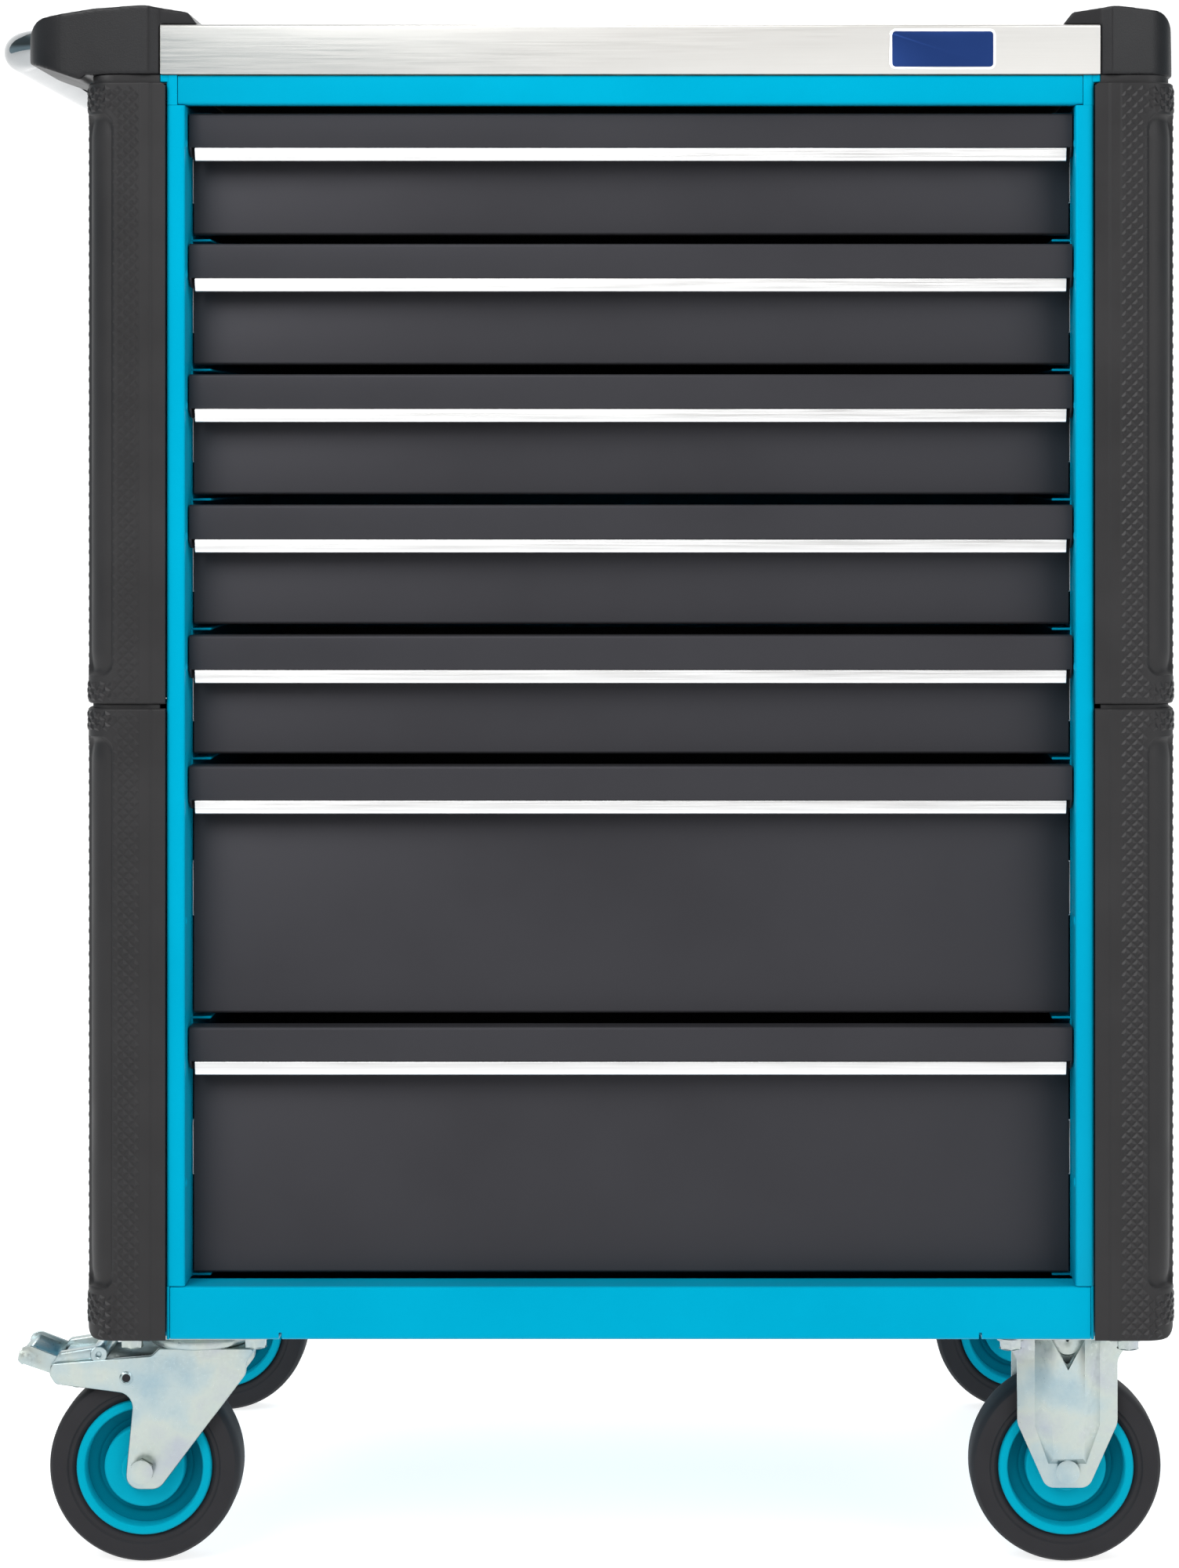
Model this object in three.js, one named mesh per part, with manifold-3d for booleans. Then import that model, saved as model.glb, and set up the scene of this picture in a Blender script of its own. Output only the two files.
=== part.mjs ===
// Rolling tool chest: seven drawers on telescopic slides in a sheet-steel cabinet, a stainless worktop,
// a push handle, plastic corner guards, two swivel casters with brake pedals and two fixed casters.
// Millimetres. +X right, +Y to the back, +Z up. The drawers open towards -Y and the floor is z = 0.
import * as THREE from 'three';
import { mergeVertices } from 'three/addons/utils/BufferGeometryUtils.js';
import Module from 'manifold-3d';

const wasm = await Module();
wasm.setup();

// ---------------------------------------------------------------- driving dimensions
// Cabinet
const CABINET_WIDTH = 594.6; // over the two side panels
const CABINET_DEPTH = 490; // from the posts' faces to the back
const SHEET = 2; // cabinet sheet
const POST_WIDTH = 12; // each blue post, seen from the front
const POST_RETURN = 40; // how far the post's inner flange runs back
const PLINTH_HEIGHT = 34;
const PAN_FLOOR = 3;
const PAN_UPSTAND = 30;
const LEDGE_DEPTH = 24;
const RAIL_HEIGHT = 19;
const RAIL_LAP = 4.6; // the top rail's reach over each post
const REAR_FLANGE = 22;
const OUTRIGGER_CLEARANCE = 3; // base plate inside a guard, which a caster bolts to
const OUTRIGGER_DEPTH = 40;

// Drawers
const FLAT_PITCH = 84;
const HIGH_PITCH = 168;
const FLAT_DRAWERS = 5;
const HIGH_DRAWERS = 2;
const FRONT_GAP = 6.5; // between one drawer's front and the next
const TOP_GAP = 4.5; // between the top drawer's front and the rail
const BOTTOM_GAP = 3.3; // between the lowest front and the plinth
const SIDE_GAP = 1.1; // between a drawer's front and the posts
const UPPER_FACE_SETBACK = 10; // upper, proud part of a front, behind the posts' faces
const LOWER_FACE_SETBACK = 26; // lower part of a front
const UPPER_FACE_HEIGHT = 22;
const FRONT_SHEET = 1.5;
const LOWER_FACE_INSET = 0.8; // the lower part is a little narrower
const FRONT_HEM = 10; // bottom edge of a front, folded back
const CHEEK_DROP = 6; // the cheeks' reach below the upper face
const REAR_SPACE = 62.5; // between the trays' backs and the cabinet's back
const TRAY_SHEET = 1.5;
const TRAY_RIM_DROP = 14; // tray rim below the front's top edge
const TRAY_LIFT = 3; // tray floor above the front's bottom edge

// Grip profile on each drawer
const GRIP_HEIGHT = 8.6;
const GRIP_THICKNESS = 4.6;
const GRIP_PROUD = 0.8; // in front of the upper face
const GRIP_END_INSET = 3.7; // shorter than the front, at each end
const GRIP_TONGUE = 5; // rises behind the upper face
const GRIP_LEAN = 0.5; // its face leans back towards the top
const GRIP_EDGE_RADIUS = 1.2;

// Telescopic slides
const SLIDE_SPACE = 13; // between the runner wall and the tray
const SLIDE_HEIGHT = 36;
const SLIDE_SHEET = 1.2;
const SLIDE_CLEARANCE = 0.6;
const SLIDE_STAGGER = 1; // each member starts this far behind the one it runs in
const RUNNER_SETBACK = 38; // the runner wall starts at the end of the post's inner flange
const RUNNER_TAIL = 9; // the runner wall's reach past the slides
const RUNNER_FLANGE = 12;
const RUNNER_FLANGE_SHEET = 1.5;
const RUNNER_INSET = 0.7; // the runner wall's step inside the post

// Worktop
const WORKTOP_THICKNESS = 32;
const WORKTOP_OVERHANG = 3.7; // past each side panel
const WORKTOP_PROUD = 2; // past the posts' faces and the back
const WORKTOP_EDGE_RADIUS = 1.6;
const WORKTOP_SHEET = 1.5; // folded stainless skin over a board

// Corner guards
const GUARD_WIDTH = 52.4; // out from the side panel
const GUARD_DEPTH = 64; // along the side
const GUARD_PROUD = 4; // in front of the posts' faces
const GUARD_WALL = 4;
const GUARD_CORNER = 20;
const GUARD_HEEL = 10;
const GUARD_SEAM = 3; // between the lower and the upper guard
const GUARD_LOWER_SHARE = 0.504; // where the seam sits in the guards' height
const NECK_INSET = 3.4;
const NECK_OVERLAP = 8;
const NECK_GAP = 5; // height of the neck between the upper guard and the cap
const GUARD_FOOT_RADIUS = 9;

// Top caps
const CAP_RISE = 12.6; // crown above the worktop
const CAP_TAPER = 1.5; // the caps' sides lean in
const CAP_FALL = 4; // the crown falls towards the outer side
const CAP_LIP = 23.5; // reach over the worktop
const CAP_LIP_RISE = 9;
const CAP_LIP_SLOPE = 6;
const CAP_DEPTH = 66; // right-hand caps
const CAP_SHOULDER = 12; // radius between the crown and the outer side
const CAP_EDGE_RADIUS = 3;
const CAP_CROWN_RADIUS = 60;
const CAP_CORNER = 28; // seen from above
const CAP_LIP_CORNER = 10;
const NOSE_REACH = 41.4; // left-hand caps, out past the guards
const NOSE_DEPTH = 132;
const NOSE_SHOULDER = 14;
const NOSE_CORNER = 34;
const NOSE_WALL = 4; // under the handle's end
const NOSE_CHIN_OUT = 4; // the nose's underside starts past the guard
const NOSE_CHIN_DROP = 3;

// Push handle
const HANDLE_DIAMETER = 25;
const HANDLE_WALL = 2;
const HANDLE_REACH = 61.6; // tube axis out past the guards
const HANDLE_SETBACK = 80; // end legs behind the posts' faces
const HANDLE_BEND = 40;
const HANDLE_DROP = 5.4; // tube axis below the worktop's top
const HANDLE_SEAT = 45; // leg length held inside the cap

// Casters
const WHEEL_DIAMETER = 125;
const WHEEL_WIDTH = 36;
const TYRE_THICKNESS = 17;
const TYRE_SHOULDER_IN = 4;
const TYRE_SHOULDER_DOWN = 6;
const RIM_RING = 6; // raised ring inside the tyre
const HUB_LENGTH = 42;
const HUB_DIAMETER = 52;
const HUB_BOSS_DIAMETER = 26;
const WEB_THICKNESS = 16;
const AXLE_DIAMETER = 12;
const AXLE_CLEARANCE = 0.4;
const AXLE_HEAD = 15; // across corners
const AXLE_HEAD_HEIGHT = 4.5;
const CROWN_GAP = 14; // between the tyre and the fork's crown
const FORK_SHEET = 3;
const FORK_REACH = 7; // past the ball race
const FORK_SKIRT = 17; // straight front edge below the crown
const FORK_SKIRT_LEAN = 1;
const FORK_SKIRT_RADIUS = 10;
const FORK_TOE_FRONT = 17; // cheek's end round the axle
const FORK_TOE_REAR = 15;
const FORK_TOE_DROP = 15;
const FORK_TOE_RADIUS = 12;
const FORK_ROOT = 9; // brake arm's root behind the axle
const FORK_ARM_RADIUS = 7;
const FORK_SHOULDER = 24; // crown's rear end behind the axle
const FORK_SHOULDER_RADIUS = 8;
const FORK_CROWN_REAR = 12;
const RACE_HEIGHT = 10;
const RACE_DIAMETER = 66;
const PLATE_SHEET = 3.5;
const PLATE_LENGTH = 105;
const PLATE_WIDTH = 85;
const PLATE_CORNER = 8;
const TRAIL = 35; // wheel axle behind the swivel axis
const CASTER_SIDE_INSET = 14; // swivel axis inside the side panels
const CASTER_SETBACK = 58; // caster centre behind the posts' faces
const BRACKET_WIDTH = 65;
const BRACKET_PLATE_LENGTH = 93;
const BRACKET_FLARE = 4; // cheeks widen into the plate
const BRACKET_FLARE_HEIGHT = 14;
const BRACKET_FLARE_RADIUS = 6;
const BRACKET_SHOULDER = 30; // cheeks start to taper this far above the axle
const BRACKET_SHOULDER_RADIUS = 16;
const BRACKET_TOE_HALF = 13;
const BRACKET_TOE_DROP = 12;
const BRACKET_TOE_RADIUS = 8;
const PEDAL_PIVOT_GAP = 9.7; // pedal pivot outside the tyre
const PEDAL_PIVOT_ANGLE = THREE.MathUtils.degToRad(53.4); // its direction from the axle, above level
const PEDAL_LENGTH = 37;
const PEDAL_BARREL = 10;
const PEDAL_LIFT = 9; // leaf's tip above the pivot
const PEDAL_LEAF = 4;
const PEDAL_SIDE_CLEARANCE = 0.5;

// Gaps between pieces that touch
const GAP = 0.3;
// How far pieces run into each other where they are one solid
const LAP = 1;
const ROUND_SEGMENTS = 28;
const HANDLE_STEPS = 30;

// ---------------------------------------------------------------- levels and places
const wheelRadius = WHEEL_DIAMETER / 2;
const crownUnder = WHEEL_DIAMETER + CROWN_GAP;
const crownTop = crownUnder + FORK_SHEET;
const plateUnder = crownTop + RACE_HEIGHT;
const casterHeight = plateUnder + PLATE_SHEET;
const baseBottom = casterHeight + GAP;
const plinthTop = baseBottom + PLINTH_HEIGHT;

const pitches = [
  ...Array(FLAT_DRAWERS).fill(FLAT_PITCH),
  ...Array(HIGH_DRAWERS).fill(HIGH_PITCH),
];
const stackHeight = pitches.reduce((sum, pitch) => sum + pitch, 0) - FRONT_GAP;
const stackTop = plinthTop + BOTTOM_GAP + stackHeight;
const railBottom = stackTop + TOP_GAP;
const railTop = railBottom + RAIL_HEIGHT;
const worktopBottom = railTop + GAP;
const worktopTop = worktopBottom + WORKTOP_THICKNESS;

const halfWidth = CABINET_WIDTH / 2;
const halfOpening = halfWidth - POST_WIDTH;
const runnerFace = halfOpening - RUNNER_INSET;
const trayHalf = runnerFace - SLIDE_SPACE;
const trayDepth = CABINET_DEPTH - LOWER_FACE_SETBACK - REAR_SPACE;
const slideLength = trayDepth - 2;
const frontHalf = halfOpening - SIDE_GAP;
const worktopHalf = halfWidth + WORKTOP_OVERHANG;
const guardOuter = halfWidth + GAP + GUARD_WIDTH;
const panelBottom = baseBottom + PAN_FLOOR + GAP;

const guardBottom = baseBottom;
const capBottom = railTop + GAP;
const guardTop = capBottom - NECK_GAP;
const guardSeam = guardBottom + (guardTop - guardBottom) * GUARD_LOWER_SHARE;

const handleAxisX = -(guardOuter + HANDLE_REACH);
const handleAxisZ = worktopTop - HANDLE_DROP;
const casterX = halfWidth - CASTER_SIDE_INSET;
const casterY = CABINET_DEPTH / 2 - CASTER_SETBACK;

// y of a place that lies `setback` behind the posts' faces
const behind = (setback) => setback - CABINET_DEPTH / 2;

// ---------------------------------------------------------------- shape helpers
const toManifold = (geometry) => {
  geometry.deleteAttribute('normal');
  geometry.deleteAttribute('uv');
  const merged = mergeVertices(geometry, 1e-4);
  return new wasm.Manifold(new wasm.Mesh({
    numProp: 3,
    vertProperties: new Float32Array(merged.attributes.position.array),
    triVerts: new Uint32Array(merged.index.array),
  }));
};

const toGeometry = (manifold) => {
  const mesh = manifold.getMesh();
  const geometry = new THREE.BufferGeometry();
  geometry.setAttribute('position', new THREE.BufferAttribute(new Float32Array(mesh.vertProperties), 3));
  geometry.setIndex(new THREE.BufferAttribute(new Uint32Array(mesh.triVerts), 1));
  geometry.computeVertexNormals();
  return geometry;
};

// A box between two corners, given in any order
const block = (x0, x1, y0, y1, z0, z1) => {
  const box = new THREE.BoxGeometry(Math.abs(x1 - x0), Math.abs(y1 - y0), Math.abs(z1 - z0));
  box.translate((x0 + x1) / 2, (y0 + y1) / 2, (z0 + z1) / 2);
  return toManifold(box);
};

const unite = (solids) => solids.reduce((whole, solid) => whole.add(solid));
const cut = (solid, tools) => tools.reduce((rest, tool) => rest.subtract(tool), solid);

// Outline from corners [a, b, radius]: a corner with a radius becomes an arc
const outline = (corners, arcSteps = 5) => {
  const points = [];
  corners.forEach(([a, b, radius = 0], i) => {
    const corner = new THREE.Vector2(a, b);
    if (radius === 0) {
      points.push(corner);
      return;
    }
    const [pa, pb] = corners[(i + corners.length - 1) % corners.length];
    const [na, nb] = corners[(i + 1) % corners.length];
    const before = new THREE.Vector2(pa, pb).sub(corner).normalize();
    const after = new THREE.Vector2(na, nb).sub(corner).normalize();
    const half = Math.acos(THREE.MathUtils.clamp(before.dot(after), -1, 1)) / 2;
    const centre = before.clone().add(after).normalize().multiplyScalar(radius / Math.sin(half)).add(corner);
    const from = before.clone().multiplyScalar(radius / Math.tan(half)).add(corner).sub(centre);
    const to = after.clone().multiplyScalar(radius / Math.tan(half)).add(corner).sub(centre);
    const sweep = Math.atan2(from.cross(to), from.dot(to));
    for (let step = 0; step <= arcSteps; step += 1) {
      points.push(from.clone().rotateAround(new THREE.Vector2(), sweep * step / arcSteps).add(centre));
    }
  });
  return points;
};

const prism = (points, length) => new THREE.ExtrudeGeometry(
  new THREE.Shape(points),
  { depth: length, bevelEnabled: false },
);

// Outline in X and Z, drawn out along Y
const alongY = (points, y0, y1) => toManifold(
  prism(points, Math.abs(y1 - y0)).rotateX(Math.PI / 2).translate(0, Math.max(y0, y1), 0),
);

// Outline in X and Y, drawn out along Z
const alongZ = (points, z0, z1) => toManifold(
  prism(points, Math.abs(z1 - z0)).translate(0, 0, Math.min(z0, z1)),
);

// Outline in Y and Z, drawn out along X
const yzBasis = new THREE.Matrix4().makeBasis(
  new THREE.Vector3(0, 1, 0),
  new THREE.Vector3(0, 0, 1),
  new THREE.Vector3(1, 0, 0),
);
const alongX = (points, x0, x1) => toManifold(
  prism(points, Math.abs(x1 - x0)).applyMatrix4(yzBasis).translate(Math.min(x0, x1), 0, 0),
);

const mirrorX = (points, side) => points.map((p) => new THREE.Vector2(p.x * side, p.y));
const mirrorXY = (points, side, end) => points.map((p) => new THREE.Vector2(p.x * side, p.y * end));

// A round bar along Y or Z through a centre
const barY = (diameter, y0, y1, x, z, segments = ROUND_SEGMENTS) => toManifold(
  new THREE.CylinderGeometry(diameter / 2, diameter / 2, y1 - y0, segments).translate(x, (y0 + y1) / 2, z),
);
const barZ = (diameter, z0, z1, x, y, segments = ROUND_SEGMENTS) => toManifold(
  new THREE.CylinderGeometry(diameter / 2, diameter / 2, z1 - z0, segments)
    .rotateX(Math.PI / 2).translate(x, y, (z0 + z1) / 2),
);

// ---------------------------------------------------------------- materials
const finish = (color, roughness, metalness) => () => new THREE.MeshStandardMaterial({
  color, roughness, metalness,
});
const cyanPaint = finish(0x02aee0, 0.42, 0.0);
const anthracitePaint = finish(0x3b3a3d, 0.5, 0.0);
const blackPlastic = finish(0x2f2e30, 0.62, 0.0);
const stainless = finish(0xcfccc6, 0.32, 1.0);
const brightAluminium = finish(0xe4e4e2, 0.3, 1.0);
const chrome = finish(0xdadcde, 0.08, 1.0);
const zincPlate = finish(0xaeb8ba, 0.36, 1.0);
const coreBoard = finish(0xa8895f, 0.8, 0.0);
const wheelRubber = finish(0x38373a, 0.7, 0.0);

const chest = new THREE.Group();
const addPart = (parent, name, manifold, material, x = 0, y = 0, z = 0) => {
  const mesh = new THREE.Mesh(toGeometry(manifold), material());
  mesh.name = name;
  mesh.position.set(x, y, z);
  parent.add(mesh);
};

// ---------------------------------------------------------------- cabinet
// Tops of the drawer fronts, from the top drawer down
const frontTops = [];
pitches.reduce((top, pitch) => {
  frontTops.push(top);
  return top - pitch;
}, stackTop);
const frontHeight = (pitch) => pitch - FRONT_GAP;
const slideCentre = (pitch) => -frontHeight(pitch) / 2; // below the front's top edge

// C-shaped slide member: a web at x = web, open towards the tray, lips at both edges
const slideMember = (side, web, lipEnd, height, y0, y1, z) => unite([
  block(side * web, side * (web - SLIDE_SHEET), y0, y1, z - height / 2, z + height / 2),
  block(side * web, side * lipEnd, y0, y1, z + height / 2 - SLIDE_SHEET, z + height / 2),
  block(side * web, side * lipEnd, y0, y1, z - height / 2, z - height / 2 + SLIDE_SHEET),
]);
const lipEnd = trayHalf + 2 * SLIDE_SHEET;
const middleHeight = SLIDE_HEIGHT - 2 * (SLIDE_SHEET + SLIDE_CLEARANCE);
const innerHeight = middleHeight - 2 * (SLIDE_SHEET + SLIDE_CLEARANCE);
const fixedWeb = runnerFace + SLIDE_SHEET / 2; // let into the runner wall
const middleWeb = fixedWeb - SLIDE_SHEET - SLIDE_CLEARANCE;
const innerTip = middleWeb - SLIDE_SHEET - SLIDE_CLEARANCE;
const slideFront = behind(RUNNER_SETBACK);

// Side panel with its post, runner wall, shelf flanges and the fixed slide members, welded together
const sidePanel = (side) => {
  const runnerTop = railBottom - SHEET;
  const runnerBottom = plinthTop + GAP;
  const runnerBack = slideFront + slideLength + RUNNER_TAIL;
  const gapCentres = [stackTop, ...frontTops.map((top, i) => top - frontHeight(pitches[i]) - FRONT_GAP)]
    .map((z) => z + FRONT_GAP / 2);
  gapCentres[0] = stackTop + TOP_GAP / 2 - SHEET / 2;
  gapCentres[gapCentres.length - 1] = plinthTop + BOTTOM_GAP / 2;
  const front = behind(0);
  const back = -front;
  const pieces = [
    block(side * halfWidth, side * (halfWidth - SHEET), front, back, panelBottom, railTop),
    block(side * halfWidth, side * halfOpening, front, front + SHEET, plinthTop + GAP, railBottom - GAP),
    block(side * halfWidth, side * (halfOpening + RAIL_LAP + GAP), front, front + SHEET, railBottom - LAP,
      railTop),
    block(side * (halfOpening + SHEET), side * halfOpening, front, front + POST_RETURN, runnerBottom,
      railBottom - GAP),
    block(side * halfWidth, side * (halfWidth - REAR_FLANGE), back - SHEET, back, panelBottom, railTop),
    block(side * (runnerFace + SHEET), side * runnerFace, slideFront, runnerBack, runnerBottom, runnerTop),
    block(side * (halfWidth - LAP), side * (runnerFace + LAP), runnerBack - SHEET, runnerBack, runnerBottom,
      runnerTop),
    ...gapCentres.map((z) => block(side * (runnerFace + LAP), side * (runnerFace - RUNNER_FLANGE), slideFront,
      runnerBack, z - RUNNER_FLANGE_SHEET / 2, z + RUNNER_FLANGE_SHEET / 2)),
    ...frontTops.map((top, i) => slideMember(side, fixedWeb, lipEnd, SLIDE_HEIGHT, slideFront + SLIDE_STAGGER,
      slideFront + SLIDE_STAGGER + slideLength, top + slideCentre(pitches[i]))),
  ];
  return unite(pieces);
};
addPart(chest, 'side_panel_left', sidePanel(-1), cyanPaint);
addPart(chest, 'side_panel_right', sidePanel(1), cyanPaint);

// Base pan: floor, plinth, ledge, upstands and the four outriggers that the casters bolt to
const basePan = () => {
  const inner = halfWidth - SHEET - GAP;
  const front = behind(0);
  const back = -front;
  const rear = back - 2 * SHEET - 2 * GAP;
  const pieces = [
    block(-halfWidth, halfWidth, front, back, baseBottom, baseBottom + PAN_FLOOR),
    block(-inner, inner, front, front + SHEET, baseBottom, plinthTop),
    block(-inner, inner, front, front + LEDGE_DEPTH, plinthTop - SHEET, plinthTop),
    block(-inner, inner, rear - SHEET, rear, baseBottom, baseBottom + PAN_UPSTAND),
    block(-inner, -inner + SHEET, front, rear, baseBottom, baseBottom + PAN_UPSTAND),
    block(inner - SHEET, inner, front, rear, baseBottom, baseBottom + PAN_UPSTAND),
  ];
  const reach = guardOuter - GUARD_WALL - OUTRIGGER_CLEARANCE;
  const start = back - GUARD_CORNER / 2;
  for (const side of [-1, 1]) {
    for (const end of [-1, 1]) {
      pieces.push(block(side * (halfWidth - LAP), side * reach, end * start, end * (start - OUTRIGGER_DEPTH),
        baseBottom, baseBottom + PAN_FLOOR));
    }
  }
  return unite(pieces);
};
addPart(chest, 'base_pan', basePan(), cyanPaint);

const backPanel = () => {
  const inner = halfWidth - SHEET - GAP;
  const face = -behind(0) - SHEET - GAP;
  return block(-inner, inner, face - SHEET, face, panelBottom, railTop);
};
addPart(chest, 'back_panel', backPanel(), cyanPaint);

const topRail = () => {
  const half = halfOpening + RAIL_LAP;
  const front = behind(0);
  return unite([
    block(-half, half, front, front + SHEET, railBottom, railTop),
    block(-half, half, front, front + POST_RETURN, railTop - SHEET, railTop),
    block(-halfOpening, halfOpening, front, front + UPPER_FACE_SETBACK, railBottom, railBottom + SHEET),
  ]);
};
addPart(chest, 'top_rail', topRail(), cyanPaint);

// Stainless skin folded down over a board
const coreHalf = worktopHalf - WORKTOP_SHEET;
const coreEdge = CABINET_DEPTH / 2 + WORKTOP_PROUD - WORKTOP_SHEET;
const worktop = () => {
  const edge = coreEdge + WORKTOP_SHEET;
  const section = outline([
    [-edge, worktopBottom],
    [-edge, worktopTop, WORKTOP_EDGE_RADIUS],
    [edge, worktopTop, WORKTOP_EDGE_RADIUS],
    [edge, worktopBottom],
  ], 3);
  return alongX(section, -worktopHalf, worktopHalf)
    .subtract(block(-coreHalf, coreHalf, -coreEdge, coreEdge, worktopBottom - LAP,
      worktopTop - WORKTOP_SHEET));
};
const worktopCore = () => block(-coreHalf + GAP, coreHalf - GAP, -coreEdge + GAP, coreEdge - GAP,
  worktopBottom, worktopTop - WORKTOP_SHEET - GAP);
addPart(chest, 'worktop', worktop(), stainless);
addPart(chest, 'worktop_core', worktopCore(), coreBoard);

// ---------------------------------------------------------------- corner guards
// Guard section for the front right corner, from x = inner out, shrunk all round by `inset`: open
// towards the side panel
const guardSection = (inner, inset) => {
  const outer = guardOuter - inset;
  const front = behind(-GUARD_PROUD) + inset;
  const heel = behind(GUARD_DEPTH - GUARD_PROUD) - inset;
  const hollow = GUARD_WALL;
  const corner = GUARD_CORNER - inset;
  const foot = GUARD_HEEL - inset;
  return outline([
    [inner, front],
    [outer, front, corner],
    [outer, heel, foot],
    [inner, heel],
    [inner, heel - hollow],
    [outer - hollow, heel - hollow, Math.max(foot - hollow, 1)],
    [outer - hollow, front + hollow, corner - hollow],
    [inner, front + hollow],
  ], 3);
};

const guardBar = (side, end, inner, inset, z0, z1) => alongZ(
  mirrorXY(guardSection(inner, inset), side, -end),
  z0,
  z1,
);

// The neck stands on each guard's top, clear of the worktop, and fills the seam up to the next piece
const guard = (side, end, z0, z1, neckHeight) => unite([
  guardBar(side, end, halfWidth + GAP, 0, z0, z1),
  guardBar(side, end, worktopHalf + GAP, NECK_INSET, z1 - NECK_OVERLAP, z1 + neckHeight - GAP),
]);

// Rounds the foot of a lower guard, seen from the front
const footShape = (side) => alongY(
  mirrorX(outline([
    [halfWidth, guardBottom],
    [guardOuter, guardBottom, GUARD_FOOT_RADIUS],
    [guardOuter, guardTop],
    [halfWidth, guardTop],
  ]), side),
  -CABINET_DEPTH,
  CABINET_DEPTH,
);

const corners = [
  ['front_left', -1, -1],
  ['front_right', 1, -1],
  ['rear_left', -1, 1],
  ['rear_right', 1, 1],
];
for (const [place, side, end] of corners) {
  const lower = guard(side, end, guardBottom, guardSeam - GUARD_SEAM / 2, GUARD_SEAM)
    .intersect(footShape(side));
  const upper = guard(side, end, guardSeam + GUARD_SEAM / 2, guardTop, NECK_GAP);
  addPart(chest, `guard_lower_${place}`, lower, blackPlastic);
  addPart(chest, `guard_upper_${place}`, upper, blackPlastic);
}

// ---------------------------------------------------------------- push handle
const handlePath = () => {
  const legY = -behind(HANDLE_SETBACK);
  const legStart = -(guardOuter + HANDLE_REACH - HANDLE_BEND - HANDLE_SEAT);
  const bendX = handleAxisX + HANDLE_BEND;
  const path = new THREE.CurvePath();
  const point = (x, y) => new THREE.Vector3(x, y, handleAxisZ);
  const quarter = HANDLE_BEND * 0.5523;
  path.add(new THREE.LineCurve3(point(legStart, -legY), point(bendX, -legY)));
  path.add(new THREE.CubicBezierCurve3(
    point(bendX, -legY),
    point(bendX - quarter, -legY),
    point(handleAxisX, -legY + HANDLE_BEND - quarter),
    point(handleAxisX, -legY + HANDLE_BEND),
  ));
  path.add(new THREE.LineCurve3(
    point(handleAxisX, -legY + HANDLE_BEND),
    point(handleAxisX, legY - HANDLE_BEND),
  ));
  path.add(new THREE.CubicBezierCurve3(
    point(handleAxisX, legY - HANDLE_BEND),
    point(handleAxisX, legY - HANDLE_BEND + quarter),
    point(bendX - quarter, legY),
    point(bendX, legY),
  ));
  path.add(new THREE.LineCurve3(point(bendX, legY), point(legStart, legY)));
  return path;
};

const circle = (radius, count) => Array.from({ length: count }, (_, i) => new THREE.Vector2(
  radius * Math.cos(2 * Math.PI * i / count),
  radius * Math.sin(2 * Math.PI * i / count),
));

// A bar of the given radius along the handle's path; with a bore radius, a tube
const handleBar = (radius, sides, boreRadius = 0) => {
  const shape = new THREE.Shape(circle(radius, sides));
  if (boreRadius > 0) {
    shape.holes.push(new THREE.Path(circle(boreRadius, sides / 2)));
  }
  return toManifold(new THREE.ExtrudeGeometry(shape, {
    steps: HANDLE_STEPS, bevelEnabled: false, extrudePath: handlePath(),
  }));
};
const handleTube = handleBar(HANDLE_DIAMETER / 2, 16, HANDLE_DIAMETER / 2 - HANDLE_WALL);
const handleSeatCut = handleBar(HANDLE_DIAMETER / 2 + GAP, 16);
addPart(chest, 'handle_tube', handleTube, chrome);

// ---------------------------------------------------------------- top caps
// Cap seen from the front: the underside, the outer side, a crowned top and the lip over the worktop
const capFace = (underside, reach, shoulder) => {
  const inner = worktopHalf + GAP;
  const tip = worktopHalf - CAP_LIP;
  const lipBottom = worktopTop + GAP;
  const crown = worktopTop + CAP_RISE;
  const lipTop = worktopTop + CAP_LIP_RISE;
  return outline([
    [inner, capBottom],
    ...underside,
    [reach - CAP_TAPER, crown - CAP_FALL, shoulder],
    [(inner + guardOuter) / 2, crown, CAP_CROWN_RADIUS],
    [tip + CAP_LIP_SLOPE, lipTop, CAP_EDGE_RADIUS],
    [tip, lipBottom],
    [inner, lipBottom],
  ], 6);
};

// Cap seen from above
const capPlan = (reach, depth, frontCorner) => {
  const front = behind(-GUARD_PROUD);
  const heel = behind(depth - GUARD_PROUD);
  const lipHeel = behind(CAP_DEPTH - GUARD_PROUD);
  const inner = worktopHalf + GAP;
  const tip = worktopHalf - CAP_LIP;
  const corner = [
    [tip, front],
    [reach, front, frontCorner],
    [reach, heel, GUARD_HEEL],
  ];
  const root = depth > CAP_DEPTH
    ? [[inner, heel], [inner, lipHeel]]
    : [];
  return outline([...corner, ...root, [tip, lipHeel, CAP_LIP_CORNER]], 6);
};

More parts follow.
